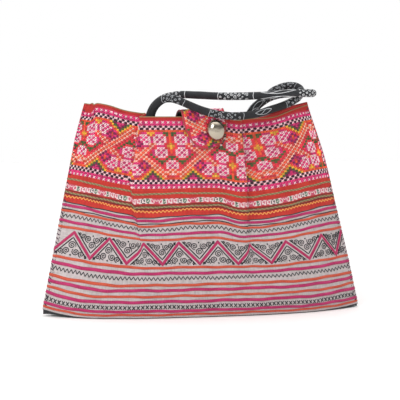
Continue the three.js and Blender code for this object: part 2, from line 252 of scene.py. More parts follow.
# Faces of closed tubes, each of n rings of m points: quads between the rings, and a cap at each end
def tubeFaces(tubes, n, m):
    i, j = np.meshgrid(np.arange(n - 1), np.arange(m), indexing="ij")
    a, b = i * m + j, i * m + (j + 1) % m
    quads = np.stack([a, b, b + m, a + m], -1).reshape(-1, 4)
    caps = np.stack([np.arange(m)[::-1], (n - 1) * m + np.arange(m)])
    starts = np.arange(tubes)[:, None, None] * n * m
    return (quads + starts).reshape(-1, 4), (caps + starts).reshape(-1, m)


# Signed volume from the fans of all faces, used to turn a closed shape's faces outwards
def signedVolume(points, faceSets):
    total = 0.0
    for faces, *rest in faceSets:
        a = points[faces[:, 0]]
        for k in range(1, faces.shape[1] - 1):
            total += np.einsum("ij,ij->", a, np.cross(points[faces[:, k]], points[faces[:, k + 1]]))
    return total


# A part is (points, face sets, uv in mm, uv for baking). A face set is (faces, slot, index into the uvs)
def outward(points, faceSets, uv, bake):
    if signedVolume(points - points.mean(0), faceSets) < 0:
        faceSets = [(f[:, ::-1], s, w[:, ::-1]) for f, s, w in faceSets]
    return points, faceSets, uv, bake


# Closed shell between two grids of points: outer face, inner face and the strips round the edge
def shell(outer, inner, uv, outerSlot=0, innerSlot=1):
    n, m = outer.shape[:2]
    count = n * m
    points = np.concatenate([outer.reshape(-1, 3), inner.reshape(-1, 3)])
    quads = gridQuads(n, m)
    i, j, last = np.arange(n - 1) * m, np.arange(m - 1), (n - 1) * m
    a = np.concatenate([i + m, i + m - 1, j, last + j + 1])
    b = np.concatenate([i, i + 2 * m - 1, j + 1, last + j])
    edges = np.stack([a, b, b + count, a + count], 1)
    under = quads[:, ::-1] + count
    edgeSlot = int(np.ravel(outerSlot)[0])
    sets = [(quads, outerSlot, quads), (under, innerSlot, under), (edges, edgeSlot, edges % count)]
    flat = uv.reshape(-1, 2)
    share = (flat - flat.min(0)) / np.maximum(flat.max(0) - flat.min(0), 1e-6)
    # in the bake the outer face has the upper half of the square, the inner face the lower
    bake = np.concatenate([share * (1, 0.5) + (0, 0.5), share * (1, 0.49)])
    return outward(points, sets, np.concatenate([flat, flat]), bake)


# Cross-sections as closed loops of (across, height), both as shares of half width and height
def roundProfile(sides=5):
    a = np.linspace(math.pi, 0, sides)
    return np.concatenate([np.stack([np.cos(a), np.sin(a)], 1), [(0.8, -0.25), (-0.8, -0.25)]])


flatProfile = np.array([(-1, 1), (1, 1), (1, -0.6), (-1, -0.6)], float)


# Strip carried along paths (u, v) on a surface. u, v are strands by stations; the strip stands on the surface,
# its across direction is the path's own normal in the flat cloth, and its ends shrink to the share "ends"
def strips(surface, u, v, halfWidth, height, profile, lift=0.0, slot=0, ends=0.6, across=None):
    u, v = np.broadcast_arrays(np.atleast_2d(u), np.atleast_2d(v))
    strands, stations = u.shape
    loop = len(profile)
    if across is None:
        du, dv = np.gradient(u, axis=1), np.gradient(v, axis=1)
        size = np.maximum(np.hypot(du, dv), 1e-9)
        nu, nv = -dv / size, du / size
    else:
        nu, nv = np.full(u.shape, across[0]), np.full(u.shape, across[1])
    half = np.broadcast_to(halfWidth, u.shape).copy()
    tall = np.broadcast_to(height, u.shape).copy()
    half[:, [0, -1]] *= ends
    tall[:, [0, -1]] *= ends
    side = profile[:, 0] * half[..., None]
    up = profile[:, 1] * tall[..., None] + np.broadcast_to(lift, u.shape)[..., None]
    points = surface(u[..., None] + nu[..., None] * side, v[..., None] + nv[..., None] * side, up).reshape(-1, 3)
    quads, caps = tubeFaces(strands, stations, loop)
    slots = np.broadcast_to(np.asarray(slot), (strands,))
    steps = np.hypot(np.diff(u, axis=1), np.diff(v, axis=1))
    run = np.concatenate([np.zeros((strands, 1)), np.cumsum(steps, axis=1)], 1)[..., None] * np.ones(loop)
    strand, apart = np.arange(strands)[:, None, None], 37.0
    uv = np.stack([run + strand * apart, side], -1)  # each strand is cut from another place of the cloth
    band = np.broadcast_to(strand + 0.1 + 0.8 * np.arange(loop) / loop, run.shape)
    bake = np.stack([run / max(run.max(), 1e-6), band / strands], -1)
    sets = [(quads, np.repeat(slots, (stations - 1) * loop), quads), (caps, np.repeat(slots, 2), caps)]
    return outward(points, sets, uv.reshape(-1, 2), bake.reshape(-1, 2))


# Several parts as one, their bake layouts stacked in rows
def joined(parts):
    start, sets, points, uvs, bakes = 0, [], [], [], []
    for row, (p, faceSets, uv, bake) in enumerate(parts):
        sets += [(f + start, s, w + start) for f, s, w in faceSets]
        points.append(p)
        uvs.append(uv)
        bakes.append((bake + (0, row)) / (1, len(parts)))
        start += len(p)
    return np.concatenate(points), sets, np.concatenate(uvs), np.concatenate(bakes)


# Puts a part, in mm, into a mesh object that rides on the bag
def addPiece(name, part, materials, sharp=None, patterned=False, replaced=()):
    points, sets, uv, bake = part
    loops = np.concatenate([f.ravel() for f, s, w in sets]).astype(np.int32)
    which = np.concatenate([w.ravel() for f, s, w in sets])
    sizes = np.concatenate([np.full(len(f), f.shape[1]) for f, s, w in sets])
    slots = np.concatenate([np.broadcast_to(s, (len(f),)) for f, s, w in sets]).astype(np.int32)
    mesh = bpy.data.meshes.new(name)
    mesh.vertices.add(len(points))
    mesh.vertices.foreach_set("co", (points * mm).astype(np.float32).ravel())
    mesh.loops.add(len(loops))
    mesh.loops.foreach_set("vertex_index", loops)
    mesh.polygons.add(len(sizes))
    mesh.polygons.foreach_set("loop_start", np.concatenate([[0], np.cumsum(sizes)[:-1]]).astype(np.int32))
    mesh.polygons.foreach_set("material_index", slots)
    mesh.polygons.foreach_set("use_smooth", np.ones(len(sizes), bool))
    if patterned:
        for layer, values in (("weave", uv), ("OFBake", bake)):
            mesh.uv_layers.new(name=layer).data.foreach_set("uv", values[which].astype(np.float32).ravel())
    for mat in materials:
        mesh.materials.append(mat)
    mesh.update(calc_edges=True)
    if sharp:
        mesh.set_sharp_from_angle(angle=math.radians(sharp))
    piece = addObject(name, mesh)
    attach(piece, "root")
    if replaced:
        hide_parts(*replaced)
    return piece


# Smooth step from 0 to 1 that begins at start and is as long as over
def eased(x, start=0.0, over=1.0):
    c = np.clip((x - start) / over, 0, 1)
    return c * c * (3 - 2 * c)


# Rows of a table that belong to places along an axis, read at any other place
def readAlong(at, axis, table):
    return np.stack([np.interp(at, axis, table[:, k]) for k in range(3)], -1)


# Points of a uniform Catmull-Rom curve through given points, end points carried on straight, evenly spaced by length
def smoothRoute(points, count, samples=4000):
    p = np.array(points, float)
    p = np.concatenate([[2 * p[0] - p[1]], p, [2 * p[-1] - p[-2]]])
    t = np.linspace(0, len(p) - 3, samples)
    i = np.clip(t.astype(int), 0, len(p) - 4)
    t = (t - i)[:, None]
    a, b, c, d = p[i], p[i + 1], p[i + 2], p[i + 3]
    q = 0.5 * (2 * b + (c - a) * t + (2 * a - 5 * b + 4 * c - d) * t ** 2 + (3 * b - a - 3 * c + d) * t ** 3)
    run = np.concatenate([[0], np.cumsum(np.linalg.norm(np.diff(q, axis=0), axis=1))])
    return readAlong(np.linspace(0, run[-1], count), run, q), run[-1]


# Two directions across a route: one normal carried along without twist, and one square to it
def carriedFrames(path):
    run = unit(np.gradient(path, axis=0))
    side = np.zeros_like(path)
    n = np.cross(run[0], (0, 1, 0))
    for k in range(len(path)):  # each normal starts from the one before
        n = unit(n - run[k] * (n @ run[k]))
        side[k] = n
    return side, np.cross(run, side)


# Rope handles, mm. Each is one length of padded batik cotton, sewn in at both ends inside the pleats
ropes = {
    "thick": 8.6, "sides": 20, "stations": 300,
    "front": [
        (-61.2, -8.3, 195), (-61.2, -7, 207), (-60.8, -5.3, 219.5), (-58.6, -5.2, 229.6), (-53.6, -8.5, 237.6),
        (-46, -13.5, 242.8), (-36.8, -18.5, 243), (-26.5, -22.5, 239.2), (-14.5, -26.6, 233.8), (-1, -29.4, 228.8),
        (14, -30.9, 225.5), (28.5, -30.8, 224), (43.5, -28.2, 224.6), (60.5, -22.6, 227.2), (75.8, -17.5, 231.8),
        (91, -13.9, 236.7), (103.2, -11.9, 242.4), (110.3, -6.8, 248.3), (112.5, 0.8, 253.8), (109.5, 8.6, 257.7),
        (102.5, 14.6, 259), (93.3, 16.6, 257.2), (82.5, 13.4, 252.4), (72.2, 7.5, 244.2), (62.6, 2.2, 237.8),
        (54.9, -2.5, 230.6), (50.2, -4.2, 220.6), (48.2, -5, 208.5), (48, -5.6, 195)],
    "back": [
        (-63, 7.9, 192), (-63, 6.7, 203.5), (-62.6, 5.2, 216.5), (-60.2, 5.2, 228), (-53.6, 6.6, 238),
        (-43, 7.4, 244.8), (-26.5, 6, 248), (-6.5, 2, 247.6), (12.5, -2.5, 246.6), (31.5, -7, 246.2),
        (51.5, -11.5, 246.6), (71.5, -15.8, 247.6), (90, -18.8, 249), (104.5, -19.7, 249.8), (115.8, -17, 250),
        (123.3, -9.6, 250), (126, 0.5, 250), (123.3, 10.6, 250), (115.8, 18, 250), (104.5, 20.9, 249.8),
        (92.5, 21.4, 248.6), (81, 20, 245.4), (70.8, 16, 239.8), (62, 10.6, 232.8), (55.8, 4.9, 223.6),
        (52.6, 3.9, 213.5), (51.3, 4.6, 203), (51, 5.6, 192)],
    # batik sections as (from, to, motif) along the rope, mm
    "batik": {
        "front": [(54, 80, "curl"), (110, 148, "curl"), (162, 184, "leaf"), (204, 236, "curl"), (246, 284, "curl"),
                  (296, 322, "leaf")],
        "back": [(58, 84, "curl"), (122, 162, "curl"), (170, 210, "leaf"), (212, 262, "rings"), (276, 312, "curl"),
                 (322, 346, "leaf")]},
    "line": {"front": "#B6B9BD", "back": "#DEE0E2"}, "lineWidth": {"front": 0.44, "back": 0.56},
    "lineHigh": 0.09, "lineLift": 0.1}
# Sizes in the batik, mm: steps along the rope, rows round it, and the limits that scrolls and rings are drawn between
motifs = {"curl": {"step": 4.2, "rows": 5, "inset": 3.2, "spare": 2.5, "eye": 0.2, "size": (0.9, 2.3),
                   "turns": (0.9, 1.5), "shift": 0.9, "edgeWave": 0.35, "edgeRound": 0.99},
          "leaf": {"rows": 3, "offset": 0.3, "bow": 3.3, "back": 0.7, "wave": 2.2},
          "rings": {"step": 3.6, "rows": 6, "inset": 1.8, "size": (0.7, 1.0)}}


# Rope surface: s along, q round it in mm, out above the cloth. A ring of radius r + out about the route at s
def ropeSurface(path, length, radius):
    side, other = carriedFrames(path)
    even = np.linspace(0, length, len(path))

    def at(s, q, out):
        s, q, out = np.broadcast_arrays(s, q, out)
        place, across, up = (readAlong(s, even, table) for table in (path, side, other))
        angle = (q / radius)[..., None]
        return place + (radius + out)[..., None] * (np.cos(angle) * across + np.sin(angle) * up)
    return at


# Pale line-work of one batik section. "curl" has a wavy line at each end and scrolls of unequal size between,
# "leaf" long bowed curves that cross, "rings" small open rings
def batikPaths(start, end, motif, girth):
    t, look, paths = np.linspace(0, 1, 17), motifs[motif], []
    rowAt = lambda row, k: girth * (row + 0.5 + 0.5 * (k % 2)) / look["rows"]
    if motif == "curl":
        edge = look["edgeWave"] * np.sin(6 * math.pi * t)
        paths += [(x + edge, look["edgeRound"] * girth * t) for x in (start, end)]
        for k in range(int((end - start - look["spare"]) / look["step"])):
            for row in range(look["rows"]):
                size, first, way = dice.uniform(*look["size"]), dice.uniform(0, 6.28), dice.choice((-1, 1))
                a = first + way * 2 * math.pi * dice.uniform(*look["turns"]) * t
                r = look["eye"] + size * t
                x, y = dice.uniform(-look["shift"], look["shift"], 2)
                paths.append((start + look["inset"] + k * look["step"] + x + r * np.cos(a),
                              rowAt(row, k) + y + r * np.sin(a)))
    elif motif == "leaf":
        x = start + (end - start) * t
        for row in range(look["rows"]):
            middle, bow = girth * (row + look["offset"]) / look["rows"], look["bow"] * np.sin(math.pi * t)
            wave = look["wave"] * np.sin(2 * math.pi * t + row)
            paths += [(x, middle + bow), (x, middle - look["back"] * bow), (x, middle + wave)]
    else:
        for k in range(int((end - start) / look["step"])):
            for row in range(look["rows"]):
                a, r = 2 * math.pi * t, dice.uniform(*look["size"])
                paths.append((start + look["inset"] + look["step"] * k + r * np.cos(a), rowAt(row, k) + r * np.sin(a)))
    return np.array([p[0] for p in paths]), np.array([p[1] for p in paths])


# A rope is its surface at out = small slow waves, so that the padding looks hand filled
def makeRope(side, spec):
    n, m, radius = spec["stations"], spec["sides"], spec["thick"] / 2
    girth = 2 * math.pi * radius
    path, length = smoothRoute(spec[side], n)
    surface = ropeSurface(path, length, radius)
    s = np.linspace(0, length, n)[:, None]
    q = np.linspace(0, girth, m + 1)[None, :-1]
    plump = 0.06 * np.sin(s / 3.1 + 2 * np.sin(q)) + 0.05 * np.sin(s / 7.3)
    points = surface(s, q, plump).reshape(-1, 3)
    quads, caps = tubeFaces(1, n, m)
    uv = np.stack(np.broadcast_arrays(s, q), -1).reshape(-1, 2)
    # the closing column reads past the seam, so its uvs are a second copy one turn on
    both = np.concatenate([uv, uv + (0, girth)])
    wrap = quads + np.where((quads % m == 0) & (quads[:, :1] % m == m - 1), n * m, 0)
    part = outward(points, [(quads, 0, wrap), (caps, 0, caps)], both, both / (length, girth * 1.1))
    rope = addPiece(side + "_rope_handle", part, [cloths[side + "Rope"]], 60, True, [side + "_handle"])
    lines = []
    for start, end, motif in spec["batik"][side]:
        a, b = batikPaths(start, end, motif, girth)
        wide = spec["lineWidth"][side] / 2
        lines.append(strips(surface, a, b, wide, spec["lineHigh"], flatProfile, spec["lineLift"]))
    paste = threadFinish(side + "_batik_resist_line", spec["line"][side], 0.85)
    marks = addPiece(side + "_rope_batik", joined(lines), [paste])
    print(side, "rope", round(length, 1), "mm")


for side in ("front", "back"):
    makeRope(side, ropes)

# Cloth walls, mm. u runs along a row of the cloth, v runs down it from the top stitched row. Spans are (start, length).
# Lifts of the ends are (start along u, change for each mm down, how much later at the hem)
wall = {"half": 187, "down": 219.5, "hem": 221.4, "thick": 1.6, "gap": 0.4, "seamShare": 0.6, "edgeRound": 0.03,
        "liftLeft": (94, -0.14, 52), "liftRight": (78, 0, 38), "liftDown": 132, "laterSpan": (140, 79),
        "hemBend": 0.9, "hemBendSpan": (150, 70), "rim": 3.5, "rimLeft": 7, "rimLeftSpan": (166, 12), "rimRight": 5.5,
        "rimPower": 2.5, "braidTop": 75.8, "stripedTop": 106.3, "smooth": 50}
rowNames = ("down", "level", "halfWidth", "halfDepth", "square", "liftLeft", "liftRight", "shift", "twist", "flare")
rows = dict(zip(rowNames, np.array([
    (-9, 228.5, 127.3, 18.2, 2.3, 15.2, 11.5, -8, 0, 0), (0, 219.5, 129.5, 18.6, 2.3, 15.2, 11.5, -8, 0, 0.4),
    (55, 164.9, 142.8, 24.5, 2.7, 16.2, 11, -6, 2, 4.2), (110, 110.4, 156.1, 32, 3, 14.5, 7.5, -4, 4, 3.8),
    (160, 60.8, 168.3, 37.5, 3.2, 12, 5, -2, 6, 3.2), (195, 26, 177, 39.6, 3.2, 9.5, 4, -0.7, 7.5, 1.6),
    (212, 9.2, 181.3, 39.4, 3.2, 8.2, 3.2, -0.1, 8, 0.8), (219.5, 2.4, 183, 38, 3.2, 7.5, 3, 0, 8, 0.5)]).T))
# Pleats: each side has one sharp fold under the middle panel and then eases back out; the left corner has a tuck
foldNames = ("hand", "from", "lean", "width", "takeUp", "step", "drop", "reach", "soft")
folds = [dict(zip(foldNames, f)) for f in (
    (-1, 58, 0.28, 36, 34, 10, 0, 190, False), (-1, 66, 0.28, 20, 0, 0, -3.8, 85, True),
    (-1, 102, 0.1, 58, 21, -10, 0, 190, True), (-1, 161, 0, 18, 7, 7, 9, 40, False),
    (1, 44, 0.06, 34, 32, 10, 0, 190, False), (1, 98, 0, 85, 23, -10, 0, 190, True))]
# A fold's line leans to a depth and then back; its width, cloth taken up and step in shrink with the reach that is left
foldRule = {"leanTo": 70, "leanBack": 0.4, "narrow": 0.35, "takeUpPower": 1.15, "stepPower": 0.9, "stepTop": 0.56,
            "stepDown": 100, "creases": (0.05, 0.55), "creaseWidth": 0.4}
# The front sags at its right fold, more below the stitched band, and round its left fold; the back along its middle
sags = {"right": {"most": 4.2, "more": 2.8, "moreSpan": (65, 40), "endSpan": (100, 85), "along": (15, 32),
                  "fadesAt": 110, "sooner": 30, "soonerSpan": (0, 75)},
        "left": {"most": 3, "middle": 112, "spread": 26, "along": (10, 50), "fades": (80, 100)},
        "back": {"most": 5, "down": 78, "less": 0.6, "lessSpan": (85, 50)}}
# Slow ripples of handled cloth, mm: waves as (length along u, length along v, phases, share of the height)
ripples = {"height": 0.55, "phase": 0.7, "top": 0.35, "fullAt": 120, "edge": 190,
           "waves": [(10.1, 23, 1, 0.4), (5.9, -14, 2, 0.25), (33, 7.4, 3, 0.4)]}


# Cubic through the rows' values of one measure at depth v
def atDepth(name, v):
    d, y = rows["down"], rows[name]
    last = len(d) - 1
    low, high = np.maximum(np.arange(last + 1) - 1, 0), np.minimum(np.arange(last + 1) + 1, last)
    slope = (y[high] - y[low]) / (d[high] - d[low])
    i = np.clip(np.searchsorted(d, v, side="left") - 1, 0, last - 1)
    h = d[i + 1] - d[i]
    t = (v - d[i]) / h
    return ((2 * t ** 3 - 3 * t ** 2 + 1) * y[i] + (t ** 3 - 2 * t ** 2 + t) * h * slope[i]
            + (3 * t ** 2 - 2 * t ** 3) * y[i + 1] + (t ** 3 - t ** 2) * h * slope[i + 1])


# Cloth taken up by the pleats at (u, v): side of the middle, length that shows up to u, length that shows in all,
# step in and drop. A sharp fold steps in at two creases, a soft one in one smooth step
def pleated(u, v):
    rule = foldRule
    hand = np.where(u < 0, -1.0, 1.0)
    along, whole = np.abs(u), np.full(u.shape, float(wall["half"]))
    inset, drop = np.zeros(u.shape), np.zeros(u.shape)
    leaning = np.minimum(v, rule["leanTo"]) - rule["leanBack"] * np.maximum(0, v - rule["leanTo"])
    for f in folds:
        on = hand == f["hand"]
        left = np.maximum(0, 1 - v / f["reach"])
        width = f["width"] * (1 if f["soft"] else rule["narrow"] + (1 - rule["narrow"]) * left)
        into = (np.abs(u) - (f["from"] + f["lean"] * leaning)) / width
        share = eased(into)
        deep = share if f["soft"] else sum(0.5 * eased(into, at, rule["creaseWidth"]) for at in rule["creases"])
        takeUp = on * f["takeUp"] * left ** rule["takeUpPower"]
        along, whole = along - takeUp * share, whole - takeUp
        grown = np.minimum(1, rule["stepTop"] + v / rule["stepDown"]) * left ** rule["stepPower"]
        inset = inset + on * f["step"] * grown * deep
        drop = drop + on * f["drop"] * left * share
    return hand, along, whole, inset, drop


def frontSag(u, v):
    right, left = sags["right"], sags["left"]
    fades = right["fadesAt"] - right["sooner"] * eased(v, *right["soonerSpan"])
    most = right["most"] + right["more"] * eased(v, *right["moreSpan"])
    onRight = ((1 - eased(v, *right["endSpan"])) * eased(u, *right["along"])
               * (1 - eased(u, fades, wall["half"] - fades)))
    onLeft = eased(-u, *left["along"]) * (1 - eased(-u, *left["fades"]))
    return most * onRight + left["most"] * np.exp(-((v - left["middle"]) / left["spread"]) ** 2) * onLeft


def backSag(u, v, across):
    spec = sags["back"]
    return (spec["most"] * (1 - across ** 2) * (1 - spec["less"] * eased(u, *spec["lessSpan"]))
            * np.maximum(0, 1 - v / spec["down"]))


# Middle of the cloth's thickness: rows bulge as 1 - |across|^square, pleats take cloth up and step it in,
# the ends lift, later near the hem, and the walls sag
def clothMiddle(side, u, v):
    hand, along, whole, inset, drop = pleated(u, v)
    t = along / whole
    across = (1 + wall["edgeRound"]) * t - wall["edgeRound"] * t ** 5
    depth = (atDepth("halfDepth", v) * (1 - np.abs(across) ** atDepth("square", v)) + wall["thick"] / 2
             + wall["gap"] * wall["seamShare"] - inset * (1 - across ** 8))
    bend = 1 + wall["hemBend"] * eased(v, *wall["hemBendSpan"])

    def rise(key):
        first, slope, later = wall[key]
        begins = first + slope * np.clip(v, 0, wall["liftDown"]) + later * eased(v, *wall["laterSpan"])
        return np.maximum(0, (np.abs(u) - begins) / (wall["half"] - begins)) ** bend * atDepth(key, v)

    lift = np.where(hand < 0, rise("liftLeft"), rise("liftRight"))
    sag = frontSag(u, v) if side < 0 else backSag(u, v, across)
    flare = atDepth("flare", v) * np.maximum(0, hand * across) ** 3 * (hand > 0)
    return np.stack([atDepth("shift", v) + hand * atDepth("halfWidth", v) * across + flare,
                     side * depth + atDepth("twist", v) * hand * across,
                     atDepth("level", v) + lift - drop - sag], -1)


# Height of the ripples: crossing sines, less at the top and fading out at the side seams
def ripple(side, u, v):
    spec = ripples
    sines = sum(np.sin(u / a + v / b + k * spec["phase"] * side) * share for a, b, k, share in spec["waves"])
    grown = spec["top"] + (1 - spec["top"]) * eased(v, 0, spec["fullAt"])
    return spec["height"] * sines * grown * (1 - (np.abs(u) / spec["edge"]) ** 6)


# Cloth face: middle surface moved out along its normal, which comes from small steps along u and v
def clothSurface(side, step=0.02, spare=1.5):
    def at(u, v, out):
        u, v, out = np.broadcast_arrays(np.asarray(u, float), np.asarray(v, float), np.asarray(out, float))
        limit = wall["half"] + spare
        du = clothMiddle(side, np.minimum(limit, u + step), v) - clothMiddle(side, np.maximum(-limit, u - step), v)
        dv = clothMiddle(side, u, v + step) - clothMiddle(side, u, v - step)
        n = unit(side * np.cross(du, dv))
        return clothMiddle(side, u, v) + n * (wall["thick"] / 2 + out + ripple(side, u, v))[..., None]
    return at


walls = {"front": clothSurface(-1), "back": clothSurface(1)}
# columns of points along u, closer together across the sharp folds
columns = np.unique(np.concatenate([np.linspace(-wall["half"], wall["half"], 188)] + [f["hand"] * np.linspace(
    f["from"], f["from"] + f["width"] + 76 * f["lean"], 31) for f in folds if not f["soft"]]).round(2))


# Top edge of the rim as a depth, above the first row: higher at the left corner and towards the right
def rimTop(u):
    left = wall["rimLeft"] * eased(-u, *wall["rimLeftSpan"])
    return -(wall["rim"] + left + wall["rimRight"] * (np.maximum(0, u) / wall["half"]) ** wall["rimPower"])


# One band of a wall as a closed cloth shell from depth top, one for all columns or one for each, to depth bottom
def bandShell(surface, top, bottom, rowsDown):
    u = columns[:, None]
    share = np.linspace(0, 1, rowsDown)[None, :]
    v = top * (1 - share) + bottom * share
    uv = np.stack(np.broadcast_arrays(u, v), -1)
    return shell(surface(u, v, 0.0), surface(u, v, -wall["thick"]), uv)


# Dyed cotton floss: the chart's letters. Soft sheen, each stitch a little lighter or darker, pale ones less so
floss = {"r": "#EA3848", "h": "#E0307A", "o": "#F25C36", "y": "#F4B83A", "w": "#F8DCDE", "a": "#F8C8B0",
         "g": "#41682F", "p": "#7E1A52", "k": "#220E24"}
flossUnder = {"w": "h", "a": "r"}  # pale stitches are worked over these, the others over their own colour
flossLetters = list(floss)
flossShades = [m for k, code in floss.items() for m in shadesOf(
    "cotton_floss_" + k, code, 0.06 if k in flossUnder else 0.13, roughness=0.6, sheen=0.06)]

# Cross-stitch band, mm. One quarter of the repeat: 25 columns from the medallion's axis, 12 rows from the top.
# It mirrors at column 0 and turns half round to give the lower rows. Threads are narrower and lower at their ends,
# lie a little loose, and the second goes over the first; a pad fills the cell under them
stitching = {
    "pitch": (2.875, 2.41), "top": 1.5, "axis": -32.8, "rows": 23, "turn": 24, "border": 4, "edge": 0.9,
    "halfWidth": 0.62, "height": 0.6, "reach": 0.49, "loose": 0.06, "endWidth": 0.82, "endHeight": 0.3, "over": 0.28,
    "sunk": 0.1, "pad": 0.26, "padFoot": 0.02, "padShare": 0.96,
    "chart": ["ooooooooooooygphhhpgyoooo", "ogghhhyyyhhroygphpgyoarrr", "ogrwwwryrwwwroygpgyoaooaw",
              "orwhwhwhwhwhwhoygyoaoaaoa", "orwwhwwhwwhwhphoyoaoarrao", "orwhwhwhwhwhpoproaoarrwhw",
              "yorwwwaoawwphohpaoarrrwwh", "yyrhhhraohhhphpaoarrgrwhw", "yorwwwrraoarrpaoarrgggrww",
              "orwhwhwhraoaraoarrgrrrgrg", "orwwhwwhrraoaoarrgrwwwrgg", "rrwhwhwhgrraoarrghwhwhwrr"]}


# Letter index at column c and row r of the endless chart; rows -4..-1 and 23..26 are the borders
def chartLetters(c, r, spec):
    chart = np.array([[flossLetters.index(k) for k in row] for row in spec["chart"]])
    turn, rowsIn = spec["turn"], spec["rows"]
    near = np.abs((c + turn) % (2 * turn) - turn)
    inner = np.clip(r, 0, rowsIn - 1)
    upper = inner < len(chart)
    turned = chart[np.where(upper, 0, rowsIn - 1 - inner), turn - near]
    found = np.where(upper, chart[np.where(upper, inner, 0), near], turned)
    away = np.where(r < 0, -r, r - rowsIn + 1)  # 1 next to the motif, 4 at the band's edge
    letter = flossLetters.index
    check = np.where((c + r) % 2 == 0, letter("w"), letter("k"))
    dots = np.where(c % 2 == 0, letter("w"), letter("h"))
    for row, values in ((1, check), (2, check), (3, np.full(c.shape, letter("h"))), (4, dots)):
        found = np.where((away == row) & ((r < 0) | (r >= rowsIn)), values, found)
    return found


# Cross stitches: two arched threads each, corner to corner of the cell, the second over the first. A thread is three
# stations of a three-sided section. Under them the floss fills the cell as a low pyramid in the darkest shade of its
# colour, painted shade under the threads, so a stitch has 34 triangles.
# The arrays' axes are stitch, thread, station and side of the section
def crossStitches(surface, u, v, letters, spec, share=1.0):
    count = len(u)
    u = u + dice.normal(0, spec["loose"], count)
    v = v + dice.normal(0, spec["loose"], count)
    wide = (spec["halfWidth"] * (1 + dice.normal(0, spec["loose"], count)))[:, None, None, None]
    du = (spec["pitch"][0] * spec["reach"] * share * np.ones(count))[:, None, None, None]
    dv = spec["pitch"][1] * spec["reach"]
    size = np.hypot(du, dv)
    lean = np.array([1.0, -1.0])[:, None, None]
    t = np.array([-1.0, 0.0, 1.0])[:, None]
    ring = np.array([-1.0, 0.0, 1.0])
    middle = 1 - np.abs(t)
    w = wide * (spec["endWidth"] + (1 - spec["endWidth"]) * middle) * ring
    su = u[:, None, None, None] + t * du - w * lean * dv / size
    sv = v[:, None, None, None] + t * lean * dv + w * du / size
    arch = spec["endHeight"] + (1 - spec["endHeight"]) * middle
    over = np.array([0.0, spec["over"]])[:, None, None] * middle
    up = (1 - np.abs(ring)) * arch * spec["height"] + over - spec["sunk"]
    points = surface(su, sv, up).reshape(-1, 3)
    quads, ends = tubeFaces(count * 2, 3, 3)
    slots = letters * 3 + dice.integers(0, 3, count)
    uv = np.zeros((len(points), 2))
    threads = outward(points, [(quads, np.repeat(slots, 12), quads), (ends, np.repeat(slots, 4), ends)], uv, uv)
    corner = np.array([(-1, -1), (1, -1), (1, 1), (-1, 1), (0, 0)]) * spec["padShare"]
    padU = u[:, None] + corner[:, 0] * du[:, 0, 0]
    padV = v[:, None] + corner[:, 1] * dv
    points = surface(padU, padV, np.array([spec["padFoot"]] * 4 + [spec["pad"]])).reshape(-1, 3)
    # pads take the darkest shade of their floss: painted shade under the threads
    below = np.array([flossLetters.index(flossUnder.get(k, k)) for k in flossLetters])[letters] * 3
    starts = np.arange(count)[:, None, None] * len(corner)
    slopes = (np.array([[0, 1, 4], [1, 2, 4], [2, 3, 4], [3, 0, 4]]) + starts).reshape(-1, 3)
    foot = (np.array([[3, 2, 1, 0]]) + starts).reshape(-1, 4)
    uv = np.zeros((len(points), 2))
    pads = outward(points, [(slopes, np.repeat(below, 4), slopes), (foot, below, foot)], uv, uv)
    return joined([threads, pads])


# Pleats hide cloth from the stitches. At distance a from the middle a stitch shows at a up to the fold line, then the
# hidden cloth is skipped and the rest is squeezed towards the seam as (1 + e) t - e t^3. Pairs are left and right;
# the line is (at the top, slope down)
pleats = {"line": ((62.5, 0.32), (45.3, 0.13)), "hidden": (42.7, 49.6), "squeeze": (0.15, 0.33), "reach": 190,
          "power": 1.15, "margin": 0.8, "probe": 0.6, "cellWidth": (0.8, 1.6), "jump": 1.7}


# For stitches at a on one hand of the row at depth v: u, cell width as a share of the pitch, and whether it shows
def pastPleats(hand, a, v):
    k, half = (0 if hand < 0 else 1), wall["half"]
    grid = np.linspace(0, half, 1500)
    along, whole = pleated(hand * grid, np.full(grid.shape, float(v)))[1:3]
    upTo = np.maximum.accumulate(along) + 1e-6 * grid
    line = pleats["line"][k][0] + pleats["line"][k][1] * v
    rest = half - line - pleats["hidden"][k] * (1 - v / pleats["reach"]) ** pleats["power"]
    t, e, probe = (a - half + rest) / rest, pleats["squeeze"][k], pleats["probe"]
    shown = np.where(a < line, a, line + (whole[0] - line) * ((1 + e) * t - e * t ** 3))
    share = np.where(a < line, 1.0, (whole[0] - line) / rest * (1 + e - 3 * e * t ** 2))
    stretch = (np.interp(shown + probe, upTo, grid) - np.interp(shown - probe, upTo, grid)) / (2 * probe)
    shows = (a < line - pleats["margin"]) | (t > 0.01)
    return hand * np.interp(shown, upTo, grid), share * np.clip(stretch, *pleats["cellWidth"]), shows


# Stitches of a whole band as columns of chart column, chart row, u, depth and cell width as a share of the pitch
def stitchCells(spec):
    half, (pu, pv) = wall["half"], spec["pitch"]
    c = np.arange(math.ceil((-half + 1 - spec["axis"]) / pu), math.floor((half - 1 - spec["axis"]) / pu) + 1)
    cells = []
    for r in range(-spec["border"], spec["rows"] + spec["border"]):
        depth = spec["top"] + (r + spec["border"] + 0.5) * pv
        for hand in (-1, 1):
            mine = c[(spec["axis"] + c * pu) * hand > 0]
            at, share, shows = pastPleats(hand, np.abs(spec["axis"] + mine * pu), depth)
            kept = np.stack([mine, np.full(len(mine), r), at, np.full(len(mine), depth), share], 1)
            kept = kept[shows & (np.abs(at) < half - spec["edge"])]
            cells.append(kept)
            # the cloth inside a fold is stitched as well
            kept = kept[np.argsort(kept[:, 2])]
            jump = np.diff(kept[:, 2])
            for k in np.flatnonzero(jump > pleats["jump"] * pu):
                count = int(jump[k] / pu)
                t = ((np.arange(count) + 1) / (count + 1))[:, None]
                inside = kept[k] * (1 - t) + kept[k + 1] * t
                inside[:, 0], inside[:, 4] = np.round(inside[:, 0]), jump[k] / (count + 1) / pu
                cells.append(inside)
    return np.concatenate(cells).T


